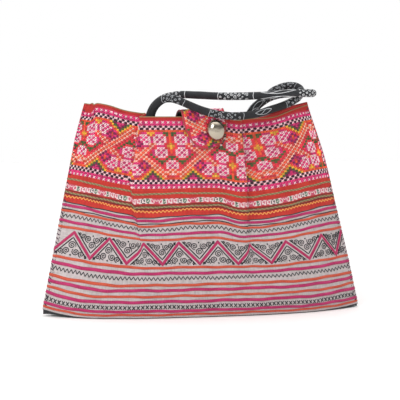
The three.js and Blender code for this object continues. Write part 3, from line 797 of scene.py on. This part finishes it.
# Bands of a wall from the top: depth of the lower edge, rows of points, cloth outside and inside, slot, CAD node
bands = {"rim_cloth": (0.0, 4, "rim", "rim", "red_cloth", "rim_band"),
         "stitched_ground": (wall["braidTop"], 24, "ground", "lining", "stitched_cloth", "embroidered_band"),
         "braid_ground": (wall["stripedTop"], 12, "red", "lining", "red_cloth", "braid_band"),
         "striped_cloth": (wall["hem"], 36, "hemp", "lining", "striped_cloth", "striped_panel")}


# Trims sewn to a wall, mm down the cloth. Straight strips are (depth, half width, height, colour), waves are
# (depth, half height, period)
trims = {
    "cords": [(109.4, 1.6, 1.1, "pink"), (115.4, 1.4, 1.0, "orange"), (126.0, 1.6, 1.1, "pink"),
              (132.1, 1.45, 1.0, "orange"), (164.4, 1.45, 1.0, "orange"), (170.7, 1.75, 1.2, "pink"),
              (183.8, 1.6, 1.1, "orange"), (189.5, 1.75, 1.2, "pink"), (196.2, 1.45, 1.0, "orange"),
              (202.2, 1.8, 1.2, "pink"), (212.8, 1.7, 1.2, "pink"), (217.3, 1.4, 1.0, "orange")],
    "blackLines": [(106.3, 0.55, 0.35, "black"), (113.2, 0.6, 0.35, "black")],
    # dark red lines either side of the lower braid: painted shadow of the braid
    "braidShadowLines": [(93.9, 0.75, 0.4, "braid_shadow"), (97.7, 0.8, 0.4, "braid_shadow")],
    "zigzagRows": [(120.1, 1.9, 5.3), (176.4, 1.9, 4.95)], "zigzagThread": (0.54, 0.45), "zigzagInside": 1.5,
    "crossRow": (208.3, 2.1, 5.0), "crossWidth": 0.62, "crossHeights": (0.45, 0.65), "crossReach": 0.36,
    "braids": [(81.9, 0.55, 5.2), (95.8, 0.55, 5.2)], "braidWidth": 0.56,
    "rickrack": (99.8, 0.9, 4.6), "rickrackYarn": (0.58, 0.6), "ribbon": (86.1, 93.1),
    "roll": {"below": 1.2, "wide": 0.9, "high": 0.5},
    "edging": {"below": 0.1, "drop": 3.6, "dropSpan": (78, 60), "wide": 0.65, "high": 0.8, "lift": -0.2,
               "colour": "#86704A"},
    # each kind of trim wanders by seeds of its own, the back wall's a little on
    "seeds": {"cords": 0, "blackLines": 20, "braidShadowLines": 30, "zigzag": 40, "cross": 50, "braids": 60, "rickrack": 70,
              "ribbon": 80, "back": 5},
    # the dark red yarn is painted shadow beside the lower braid
    "colours": {"black": "#2A292C", "braid_shadow": "#701614", "sage": "#6C7046", "sand": "#9C8A66", "marigold": "#E49A4E"}}
# plain cotton yarn: matt, one colour; the dark red yarn beside the lower braid is painted shadow
plainYarns = {k: threadFinish("cotton_yarn_" + k, code) for k, code in trims["colours"].items()}
# folded cotton strips: hand dyed and washed, streaky along the thread
stripCloth = {
    "pink": wovenCloth("magenta_cotton_strip", "#861444", "#BC2664", "#CE447C", 1.0, slub=16, cloud=18, depth=0.7),
    "orange": wovenCloth("vermilion_cotton_strip", "#A83A26", "#C85038", "#D66C50", 1.0, slub=16, cloud=18, depth=0.7),
    "tape": wovenCloth("magenta_cotton_tape", "#8E1846", "#B42458", "#C6386C", 1.0, slub=12, cloud=16, depth=0.7)}


# Hand-sewn line: a row at depth v that wanders a little along u
def sewnLine(v, u, seed):
    return v + 0.35 * np.sin(u / 11.3 + seed * 1.7) + 0.22 * np.sin(u / 4.7 + seed * 2.9)


# Zigzag of the tape: straight runs between listed turns, the first one low, then high and low by turns.
# Motifs as (across, up from the band's edge, radius, turns, direction) in a triangle whose half width is "unit"
zigzag = {"top": 136.6, "bottom": 160.6, "tape": 1.65, "outline": 5.3, "line": 0.65, "ink": 0.5, "unit": 20.2,
          "turns": [-190.5, -165.5, -141.1, -119.4, -96.8, -71.9, -51.5, -31.5, -8, 14.25, 37.4, 58, 81.4, 104.1,
                    130.3, 153.9, 169.3, 185, 205],
          "motifs": [(0.0, 11.6, 4.1, 2.05, 1), (-4.7, 5.3, 3.8, 1.95, -1), (4.7, 5.3, 3.8, 1.95, 1),
                     (-10.7, 3.5, 3.1, 1.7, 1), (10.7, 3.5, 3.1, 1.7, -1), (-14.8, 1.5, 1.5, 1.2, -1),
                     (14.8, 1.5, 1.5, 1.2, 1)],
          "dot": (0.0, 1.4, 0.54)}


def zigzagDepth(u, spec):
    turns = np.array(spec["turns"])
    return np.interp(u, turns, np.where(np.arange(len(turns)) % 2 == 0, spec["bottom"], spec["top"]))


# Straight sewn strips of one kind; their slots are places in the list of colours
def sewnStrips(surface, u, kind, seedShift, colours):
    seed = trims["seeds"][kind] + seedShift
    return [strips(surface, u, sewnLine(v, u, k + seed), w, h, roundProfile(), 0.0, colours.index(tone))
            for k, (v, w, h, tone) in enumerate(trims[kind])]


# Black zigzag stitches, straight from turn to turn, and a row of crosses of two stitches each
def blackStitches(surface, seedShift):
    half, seeds, sewing = wall["half"], trims["seeds"], []
    t, inside = np.linspace(0, 1, 4), trims["zigzagInside"]
    for k, (v, amp, period) in enumerate(trims["zigzagRows"]):
        n = int(2 * half / period * 2)
        ends = np.linspace(-half + inside, half - inside, n + 1)
        su = ends[:-1, None] + np.diff(ends)[:, None] * t
        way = np.where(np.arange(n) % 2 == 0, 1, -1)[:, None]
        sv = sewnLine(v, su, k + seeds["zigzag"] + seedShift) + way * amp * (2 * t - 1)
        sewing.append(strips(surface, su, sv, *trims["zigzagThread"], roundProfile(4), 0.0, 0, 0.8))
    v, amp, period = trims["crossRow"]
    t = np.linspace(-1, 1, 5)
    su = np.arange(-half + 3, half - 2, period)[:, None] + trims["crossReach"] * period * t
    for way, high in zip((1, -1), trims["crossHeights"]):
        sv = sewnLine(v, su, seeds["cross"] + seedShift) + way * amp * t
        sewing.append(strips(surface, su, sv, trims["crossWidth"], high, roundProfile(4), 0.0, 0, 0.8))
    return joined(sewing)


# Two-strand braids: each strand is a sine along its row, half a turn from the other, and rises where it crosses over
def sageBraids(surface, u, seedShift):
    braids = []
    for k, (v, amp, period) in enumerate(trims["braids"]):
        row = sewnLine(v, u, k + trims["seeds"]["braids"] + seedShift)
        for strand in (0, 1):
            turn = 2 * math.pi * u / period + math.pi * strand
            high, lift = 0.62 + 0.2 * np.cos(2 * turn), 0.1 + 0.15 * np.cos(turn)
            path = row + amp * np.sin(turn)
            braids.append(strips(surface, u, path, trims["braidWidth"], high, roundProfile(4), lift, strand))
    return joined(braids)


def makeWall(name, cells):
    surface, seedShift = walls[name], (0 if name == "front" else trims["seeds"]["back"])
    u, fine = (np.linspace(-wall["half"], wall["half"], count) for count in (260, 860))
    top = rimTop(columns[:, None])
    for label, (bottom, rowsDown, outside, inside, slotName, node) in bands.items():
        addPiece(f"{name}_{label}", bandShell(surface, top, bottom, rowsDown), [cloths[outside], cloths[inside]],
                 wall["smooth"], True, [f"{name}_{node}"])
        top = bottom
    # rolled top edge of the rim, and khaki edging that drops below the roll to the right
    spec = trims["roll"]
    roll = strips(surface, u, rimTop(u) + spec["below"], spec["wide"], spec["high"], roundProfile())
    addPiece(name + "_rim_roll", roll, [cloths["rim"]], None, True)
    spec = trims["edging"]
    below = spec["below"] + spec["drop"] * eased(u, *spec["dropSpan"])
    edging = strips(surface, u, rimTop(u) + below, spec["wide"], spec["high"], roundProfile(), spec["lift"])
    addPiece(name + "_rim_edging", edging, [threadFinish(name + "_khaki_cotton_edging", spec["colour"])])
    c, r, at, depth, share = cells
    letters = chartLetters(c.astype(int), r.astype(int), stitching)
    stitches = crossStitches(surface, at, depth, letters, stitching, share)
    addPiece(name + "_cross_stitches", stitches, flossShades)
    # folded strips sewn down as cords, thin black lines, and dark red lines beside the lower braid as painted shadow
    cords = joined(sewnStrips(surface, u, "cords", seedShift, ["pink", "orange"]))
    addPiece(name + "_sewn_cords", cords, [stripCloth["pink"], stripCloth["orange"]], None, True)
    dark = ["black", "braid_shadow"]
    lines = [part for kind in ("blackLines", "braidShadowLines") for part in sewnStrips(surface, u, kind, seedShift, dark)]
    addPiece(name + "_dark_lines", joined(lines), [plainYarns[k] for k in dark])
    addPiece(name + "_black_stitching", blackStitches(surface, seedShift), [plainYarns["black"]])
    braids = sageBraids(surface, fine, seedShift)
    addPiece(name + "_sage_braids", braids, [plainYarns["sage"], plainYarns["sand"]])
    v, amp, period = trims["rickrack"]
    row = sewnLine(v, fine, trims["seeds"]["rickrack"] + seedShift) + amp * np.sin(2 * math.pi * fine / period)
    wave = strips(surface, fine, row, *trims["rickrackYarn"], roundProfile(4))
    addPiece(name + "_rickrack", wave, [plainYarns["marigold"]])
    makeRibbon(name, surface)
    makeZigzag(name, surface)


# Woven ribbon. One repeat of its weave, 35 by 8 cells: a basket, curls and a leaf between two red edges
ribbonWeave = {
    "chart": ["rrrrrrrrrrrrrrrrrrrrrrrrrrrrrrrrrrr", "..pppppppp..gg...pp...pp...kk..ggg.",
              ".p.p.pp.p.p.gkg.p..p.p..p.k..k.gkgg", ".pp.p..p.pp.gk..p.pp.p.pp.k.kk.gg.g",
              ".pp.pppp.pp.g.g.p..p.p..p.k..k.g.gg", "..p.pppp.p..gkg.p....p....k....gkg.",
              "...pppppp...gg..ppp..ppp...kkk..gg.", "rrrrrrrrrrrrrrrrrrrrrrrrrrrrrrrrrrr"],
    "cells": ".pgkr", "cell": 1.2, "colours": ["#D6C2C0", "#B8405C", "#5E7C66", "#2C282C", "#B02A24"],
    "thick": 0.35, "sunk": 0.2}
# rayon: finer and a little shinier than the cottons
ribbonThreads = [threadFinish("rayon_ribbon_thread_%d" % (k + 1), code, 0.55, 0.2)
                 for k, code in enumerate(ribbonWeave["colours"])]


# A thin shell on the wall, one quad for each cell of the weave
def makeRibbon(name, surface):
    spec = ribbonWeave
    chart = np.array([[spec["cells"].index(k) for k in row] for row in spec["chart"]])
    u = np.arange(-wall["half"], wall["half"] + 0.01, spec["cell"])[:, None]
    v = np.linspace(*trims["ribbon"], len(chart) + 1)[None, :]
    row = v + sewnLine(0, u, trims["seeds"]["ribbon"])
    cells = chart[:, np.arange(len(u) - 1) % chart.shape[1]].T.ravel()
    uv = np.stack(np.broadcast_arrays(u, v), -1)
    part = shell(surface(u, row, spec["thick"]), surface(u, row, -spec["sunk"]), uv, cells, 0)
    addPiece(name + "_woven_ribbon", part, ribbonThreads)


# Zigzag tape, its black outlines and the batik spirals in each triangle. The tape's width is measured across its slope;
# a spiral's radius grows evenly with its angle
def makeZigzag(name, surface):
    spec, half = zigzag, wall["half"]
    turns = np.array(spec["turns"])
    u = np.unique(np.concatenate([np.arange(-half, half + 0.01, 1.3), turns[np.abs(turns) < half]]).round(3))
    v = zigzagDepth(u, spec)
    wide = spec["tape"] * np.hypot(1, np.abs(np.gradient(v, u)))
    tape = strips(surface, u, v, wide, 0.6, roundProfile(6), 0.0, 0, 1.0, (0, 1))
    addPiece(name + "_zigzag_tape", tape, [stripCloth["tape"]], None, True)
    drawn = []
    t = np.linspace(0, 1, 14)
    grow = np.linspace(0, 1, 34)
    for k in range(1, len(turns) - 1):
        way = 1 if k % 2 else -1  # apex up, or down
        tip = (spec["top"] if way > 0 else spec["bottom"]) + way * spec["outline"]
        floor = spec["bottom"] + 1.0 if way > 0 else spec["top"] - 1.0
        for end in (turns[k - 1], turns[k + 1]):
            reach = (end - turns[k]) * abs(floor - tip) / (spec["bottom"] - spec["top"])
            drawn.append((turns[k] + reach * (1 - t), floor + (tip - floor) * t, spec["line"]))
        scale = (turns[k + 1] - turns[k - 1]) / 2 / spec["unit"]
        for across, high, radius, rounds, hand in spec["motifs"]:
            a = 2 * math.pi * rounds * grow + 0.9 * across
            size = 0.2 + (radius - 0.2) * grow
            drawn.append((turns[k] + scale * (across + hand * size * np.cos(a)), floor - way * high + size * np.sin(a),
                          spec["ink"]))
        across, high, radius = spec["dot"]
        a = np.linspace(0, 1.8 * math.pi, 8)
        drawn.append((turns[k] + scale * (across + radius * np.cos(a)), floor - way * high + radius * np.sin(a),
                      spec["ink"]))
    parts = []
    for count in sorted({len(d[0]) for d in drawn}):
        same = [d for d in drawn if len(d[0]) == count and np.abs(d[0]).max() < half - 0.5]
        parts.append(strips(surface, np.array([d[0] for d in same]), np.array([d[1] for d in same]),
                            np.array([[d[2]] for d in same]), 0.1, flatProfile, 0.06))
    ink = threadFinish(name + "_batik_ink_line", "#232227", 0.9, 0.0)
    addPiece(name + "_batik_lines", joined(parts), [ink])


bandCells = stitchCells(stitching)
for name in walls:
    makeWall(name, bandCells)
print("walls sewn")

# Base panel, mm: flat underneath, its edge turned up inside the hem and its corners a little off the floor.
# Across it, the share "flatTo" is flat and the rest is the turned edge
base = {"thick": 1.7, "turn": 9, "inside": 2.2, "leastHalf": 0.8, "leastFlat": 0.35, "flatTo": 0.4,
        "cornerLeft": 2.4, "cornerRight": 0.8, "cornerSpan": (115, 72), "piping": (0.5, 0.5), "pipingLift": -0.3}


# The panel follows the walls' hem: y runs between the walls, z rises as the square of the way into the turned edge
def makeBase(spec):
    u, hem, f = columns, np.full(columns.shape, wall["down"]), spec["flatTo"]
    front, back = clothMiddle(-1, u, hem), clothMiddle(1, u, hem)
    middle = ((front[:, 1] + back[:, 1]) / 2)[:, None]
    half = np.maximum(spec["leastHalf"], (back[:, 1] - front[:, 1]) / 2 - spec["inside"])[:, None]
    edge = np.maximum(0, front[:, 2] - 2 * wall["gap"] - spec["thick"])[:, None]
    flat = np.maximum(spec["leastFlat"], half - spec["turn"])
    w = np.concatenate([np.linspace(-1, -f, 7), np.linspace(-f, f, 5)[1:-1], np.linspace(f, 1, 7)])[None, :]
    turned = np.maximum(0, (np.abs(w) - f) / (1 - f))
    y = middle + np.sign(w) * np.where(np.abs(w) <= f, flat * np.abs(w) / f, flat + (half - flat) * turned)
    x = np.broadcast_to(front[:, :1], y.shape)
    corner = np.where(u < 0, spec["cornerLeft"], spec["cornerRight"]) * eased(np.abs(u), *spec["cornerSpan"])
    lower = np.stack([x, y, np.maximum(edge * turned ** 2, corner[:, None])], -1)
    part = shell(lower, lower + (0, 0, spec["thick"]), np.stack([x, y], -1))
    panel = addPiece("base_panel", part, [cloths["base"], cloths["lining"]], wall["smooth"], True,
                     ["base_cloth"])
    u = np.linspace(-wall["half"], wall["half"], 220)
    for name, surface in walls.items():
        piping = strips(surface, u, wall["hem"] - 0.2, *spec["piping"], roundProfile(), spec["pipingLift"])
        addPiece(name + "_base_piping", piping, [cloths["base"]], None, True)
    return panel


basePanel = makeBase(base)
print("base made")

# Closing tab, mm: from its tip up the front, over the mouth and down inside the back wall
tab = {"thick": 1.2, "liningThick": 1.0, "gap": 0.4, "half": 23.5, "round": 34, "lean": 15, "power": 2.2,
       "run": [(6, -25.4, 188.5), (2.5, -24.7, 200), (-0.5, -24, 212), (-2.6, -23.4, 220.4), (-3.8, -22.8, 225.6),
               (-4.6, -20, 229.2), (-5.2, -12.6, 230), (-5.7, -2, 229.4), (-6.3, 7.6, 226.6), (-6.8, 13.6, 221.4),
               (-7, 16.2, 213.8), (-7, 16.9, 203)],
       # the binding colour is darkened towards the shadow line at the tab's edge: partly painted shadow
       "chartAt": (-7.5, 27.0), "least": 1.2, "binding": "#9A4A3C", "levels": 0.9, "levelSpan": (0.2, 0.3)}
tabPath, tabLength = smoothRoute(tab["run"], 400)
tabTangent = unit(np.gradient(tabPath, axis=0))
tabFaceHeight = tab["gap"] / 2 + tab["thick"]  # of the stitched face above the middle of the two cloths


# Tab frame at distance d from the tip: place, width direction that leans at the tip and levels off, and outward normal
def tabFrame(d):
    even = np.linspace(0, tabLength, len(tabPath))
    place, run = readAlong(d, even, tabPath), readAlong(d, even, tabTangent)
    lean = math.radians(tab["lean"]) * (1 - tab["levels"] * eased(d / tabLength, *tab["levelSpan"]))
    width = np.stack([np.cos(lean), np.zeros_like(lean), np.sin(lean)], -1)
    width = unit(width - run * np.sum(width * run, -1)[..., None])
    return place, width, unit(np.cross(width, run))


# Tab face: w across and d along in mm, out above the face
def tabSurface(w, d, out):
    w, d, out = np.broadcast_arrays(np.asarray(w, float), np.asarray(d, float), np.asarray(out, float))
    place, width, normal = tabFrame(np.clip(d, 0, tabLength))
    return place + width * w[..., None] + normal * (tabFaceHeight + out)[..., None]


# Half width at distance d: a rounded tip, then straight sides
def tabHalf(d, trim=0.0):
    share = 1 - np.clip((d - trim) / tab["round"], 0, 1)
    return (tab["half"] - trim) * (1 - share ** tab["power"]) ** (1 / tab["power"])


# Dome button, mm and degrees; "at" is its x and z, "rim" its rolled edge
button = {"at": (10, 208.2), "radius": 11.5, "oval": (0.9, 1.07), "turn": 10, "rise": 8.5, "lift": 0.4, "rim": 0.9,
          "pole": 0.001, "colour": "#B2A898"}
buttonShare = np.argmin(np.abs(tabPath[:200, 2] - button["at"][1])) / (len(tabPath) - 1) * tabLength


# Point above the tab's plane at the button, given its x and z
def onTab(x, z, out):
    place, width, normal = (a[0] for a in tabFrame(np.array([buttonShare])))
    right = np.array([1.0, 0, 0]) - normal * normal[0]
    up = np.array([0, 0, 1.0]) - normal * normal[2]
    x, z, out = np.broadcast_arrays(np.asarray(x, float), np.asarray(z, float), np.asarray(out, float))
    point = place + right * (x - place[0])[..., None] + up * (z - place[2])[..., None] + normal * out[..., None]
    return point, normal


# Cross stitches of the tab, cut from the same chart as the band; none at the edge or under the button
def tabStitches():
    pu, pv = stitching["pitch"]
    c, r = np.meshgrid(np.arange(-9, 10), np.arange(0, 46))
    w, d = c.ravel() * pu, 2.0 + r.ravel() * pv
    centre, normal = onTab(*button["at"], 0.0)
    away = np.linalg.norm(np.cross(tabSurface(w, d, 0.0) - centre, normal), axis=1)
    keep = (np.abs(w) < tabHalf(d - pv * 0.4) - 1.7) & (d < tabLength - 3) & (away > button["radius"] - 1.5)
    w, d = w[keep], d[keep]
    # rows count up from the tip, so the chart is read downwards to it; the crossing of the lattice lies at chartAt
    chartC = np.round((w - tab["chartAt"][0]) / pu).astype(int) - 12
    chartR = 11 - np.round((d - tab["chartAt"][1]) / pv).astype(int)
    letters = chartLetters(chartC, np.clip(np.abs(chartR), 0, stitching["rows"] - 1), stitching)
    return crossStitches(tabSurface, w, d, letters, stitching)


# Face and lining are shells between two offsets of the tab's surface, with closer rows at the tip
def makeTab(spec):
    d = (0.4 + (tabLength - 0.4) * np.linspace(0, 1, 70) ** 1.25)[:, None]
    w = np.linspace(-1, 1, 25)[None, :]
    wide = np.maximum(spec["least"], tabHalf(d)) * w
    uv = np.stack(np.broadcast_arrays(wide, d), -1)
    face = shell(tabSurface(wide, d, 0.0), tabSurface(wide, d, -spec["thick"]), uv)
    facePiece = addPiece("tab_face", face, [cloths["ground"], cloths["tabBack"]], wall["smooth"],
                         True, ["closing_tab"])
    wide = np.maximum(spec["least"], tabHalf(d, 0.3)) * w
    low = -spec["thick"] - spec["gap"]
    backing = shell(tabSurface(wide, d, low), tabSurface(wide, d, low - spec["liningThick"]), uv)
    addPiece("tab_backing", backing, [cloths["tabBack"], cloths["tabBack"]], wall["smooth"], True,
             ["tab_lining"])
    # edge binding: down one side, round the tip and up the other
    count, power = 60, 2 / spec["power"]
    a = np.linspace(-math.pi / 2, math.pi / 2, count)
    tipW = spec["half"] * np.sign(np.sin(a)) * np.abs(np.sin(a)) ** power
    tipD = spec["round"] * (1 - np.abs(np.cos(a)) ** power)
    side = np.linspace(tabLength, spec["round"], count)[:-1]
    pathW = np.concatenate([np.full(count - 1, -spec["half"]), tipW, np.full(count - 1, spec["half"])])
    pathD = np.concatenate([side, tipD, side[::-1]])
    binding = strips(tabSurface, pathW, np.maximum(pathD, 0.3), 0.5, 0.5, roundProfile(), -0.1)
    # the binding is real, its colour darkened to the shadow line at the tab's edge: partly painted shadow
    addPiece("tab_binding", binding, [threadFinish("cotton_edge_binding_and_shadow", spec["binding"])])
    addPiece("tab_cross_stitches", tabStitches(), flossShades)
    return facePiece


tabFace = makeTab(tab)
print("tab made,", round(tabLength, 1), "mm long")


# Dome button: half an ellipse turned about the tab's normal, pressed a little oval, on a thin rolled rim
def makeButton(spec):
    centre, normal = onTab(*spec["at"], tabFaceHeight + spec["lift"])
    level = unit(np.cross(normal, (0, 0, 1)))
    upright = np.cross(normal, level)
    lean = math.radians(spec["turn"])
    side = (level * math.cos(lean) + upright * math.sin(lean)) * spec["oval"][0]
    other = (upright * math.cos(lean) - level * math.sin(lean)) * spec["oval"][1]
    a = np.linspace(0, math.pi / 2, 16)[1:-1]
    wide, rim, pole = spec["radius"], spec["rim"], spec["pole"]
    radius = np.concatenate([[pole, wide * 0.6, wide - 0.6, wide], wide * np.cos(a) ** 0.9, [pole]])
    height = np.concatenate([[0.0, 0.0, 0.0, rim / 2], rim + (spec["rise"] - rim) * np.sin(a), [spec["rise"]]])
    turn = np.linspace(0, 2 * math.pi, 49)[:-1, None]
    ring = np.cos(turn) * side + np.sin(turn) * other
    points = (centre + radius[:, None, None] * ring + height[:, None, None] * normal).reshape(-1, 3)
    quads, caps = tubeFaces(1, len(radius), len(turn))
    uv = points[:, [0, 2]]
    # beaten nickel silver: a warm gloss, broken by the hammer's dents, about 3 mm across
    silver = threadFinish("hand_beaten_nickel_silver", spec["colour"], 0.14, 0.0, 1.0)
    tree = silver.node_tree
    where = addNode(tree, "ShaderNodeTexCoord").outputs["Object"]
    dents = addNode(tree, "ShaderNodeTexNoise", {"Scale": 260.0, "Detail": 1.0}, {"Vector": where})
    bump = addNode(tree, "ShaderNodeBump", {"Strength": 0.35, "Distance": 0.0006}, {"Height": dents.outputs["Fac"]})
    tree.links.new(bump.outputs["Normal"], tree.nodes["Principled BSDF"].inputs["Normal"])
    part = outward(points, [(quads, 0, quads), (caps, 0, caps)], uv, uv)
    addPiece("dome_stud", part, [silver], 40, False, ["dome_button"])


makeButton(button)

# Seed beads on a thread from under the button's right side to the tab's edge, mm; the path is (x, z, further out)
beads = {"path": [(20.6, 203.2, 0), (20.2, 199.5, 0), (18.4, 195.4, 0.3), (15.6, 191.2, 0.3), (13.6, 187.6, 0)],
         "radius": 1.15, "short": 0.85, "hole": 0.25, "colours": ["#2B4A35", "#1E2420", "#B9BCB6", "#4A5240"],
         "order": [0, 1, 2, 0, 3, 1, 2, 0, 1]}


# Each bead is a ball turned about the thread, a little short along it and cut off at the hole
def makeBeads(spec):
    order = np.array(spec["order"])
    out = tabFaceHeight + tab["gap"] + spec["radius"]
    path, length = smoothRoute([onTab(x, z, out + more)[0] for x, z, more in spec["path"]], len(order))
    run = unit(np.gradient(path, axis=0))
    side = unit(np.cross(run, (0, 1, 0)))
    other = np.cross(run, side)
    lat = np.linspace(-math.pi / 2, math.pi / 2, 9)
    lon = np.linspace(0, 2 * math.pi, 13)[:-1, None]
    fat = (spec["radius"] * np.maximum(spec["hole"], np.cos(lat)))[:, None, None]
    along = (spec["short"] * spec["radius"] * np.sin(lat))[:, None, None]
    ring = np.cos(lon) * side[:, None, :] + np.sin(lon) * other[:, None, :]
    points = (path[:, None, None, :] + fat * ring[:, None] + along * run[:, None, None, :]).reshape(-1, 3)
    quads, caps = tubeFaces(len(path), len(lat), len(lon))
    sets = [(quads, np.repeat(order, (len(lat) - 1) * len(lon)), quads), (caps, np.repeat(order, 2), caps)]
    uv = points[:, [0, 2]]
    # pressed glass: dark and glossy, a clear coat gives small highlights
    glass = [threadFinish("seed_bead_glass_%d" % (k + 1), code, 0.18, 0.0, 0.0, 0.6)
             for k, code in enumerate(spec["colours"])]
    addPiece("seed_beads", outward(points, sets, uv, uv), glass, None, False, ["bead_string"])


makeBeads(beads)
print("button and beads made")

# Side seams, mm: overcast stitches round the edge and a line of running stitch beside it
seams = {"edge": 0.2, "pitch": 4.6, "reach": 3.2, "slant": 1.6, "dash": 3.4, "dashShare": 0.62, "inside": 4.0,
         "overcast": (0.62, 0.5), "running": (0.3, 0.35),
         "colours": {"waxed_seam_thread": "#3C1230", "dark_running_thread": "#3A2A34"}}


def makeSeams(spec):
    parts = []
    v = np.arange(-2.0, wall["down"] - 3, spec["pitch"])[:, None]
    dash = np.arange(wall["stripedTop"], wall["down"] - 4, spec["dash"])[:, None]
    t, along = np.linspace(0, 1, 6), spec["dashShare"] * spec["dash"] * np.linspace(0, 1, 4)
    for hand in (-1, 1):
        edge = hand * (wall["half"] - spec["edge"])
        for surface in walls.values():
            parts.append(strips(surface, edge - hand * spec["reach"] * t, v + spec["slant"] * t, *spec["overcast"],
                                roundProfile(4), 0.05, 0, 0.8))
            parts.append(strips(surface, edge - hand * spec["inside"], dash + along, *spec["running"],
                                roundProfile(4), 0.0, 1, 0.8))
    # waxed linen and cotton: dark, no gloss
    threads = [threadFinish(name, code) for name, code in spec["colours"].items()]
    addPiece("side_seam_stitches", joined(parts), threads)


makeSeams(seams)
print("seams sewn")
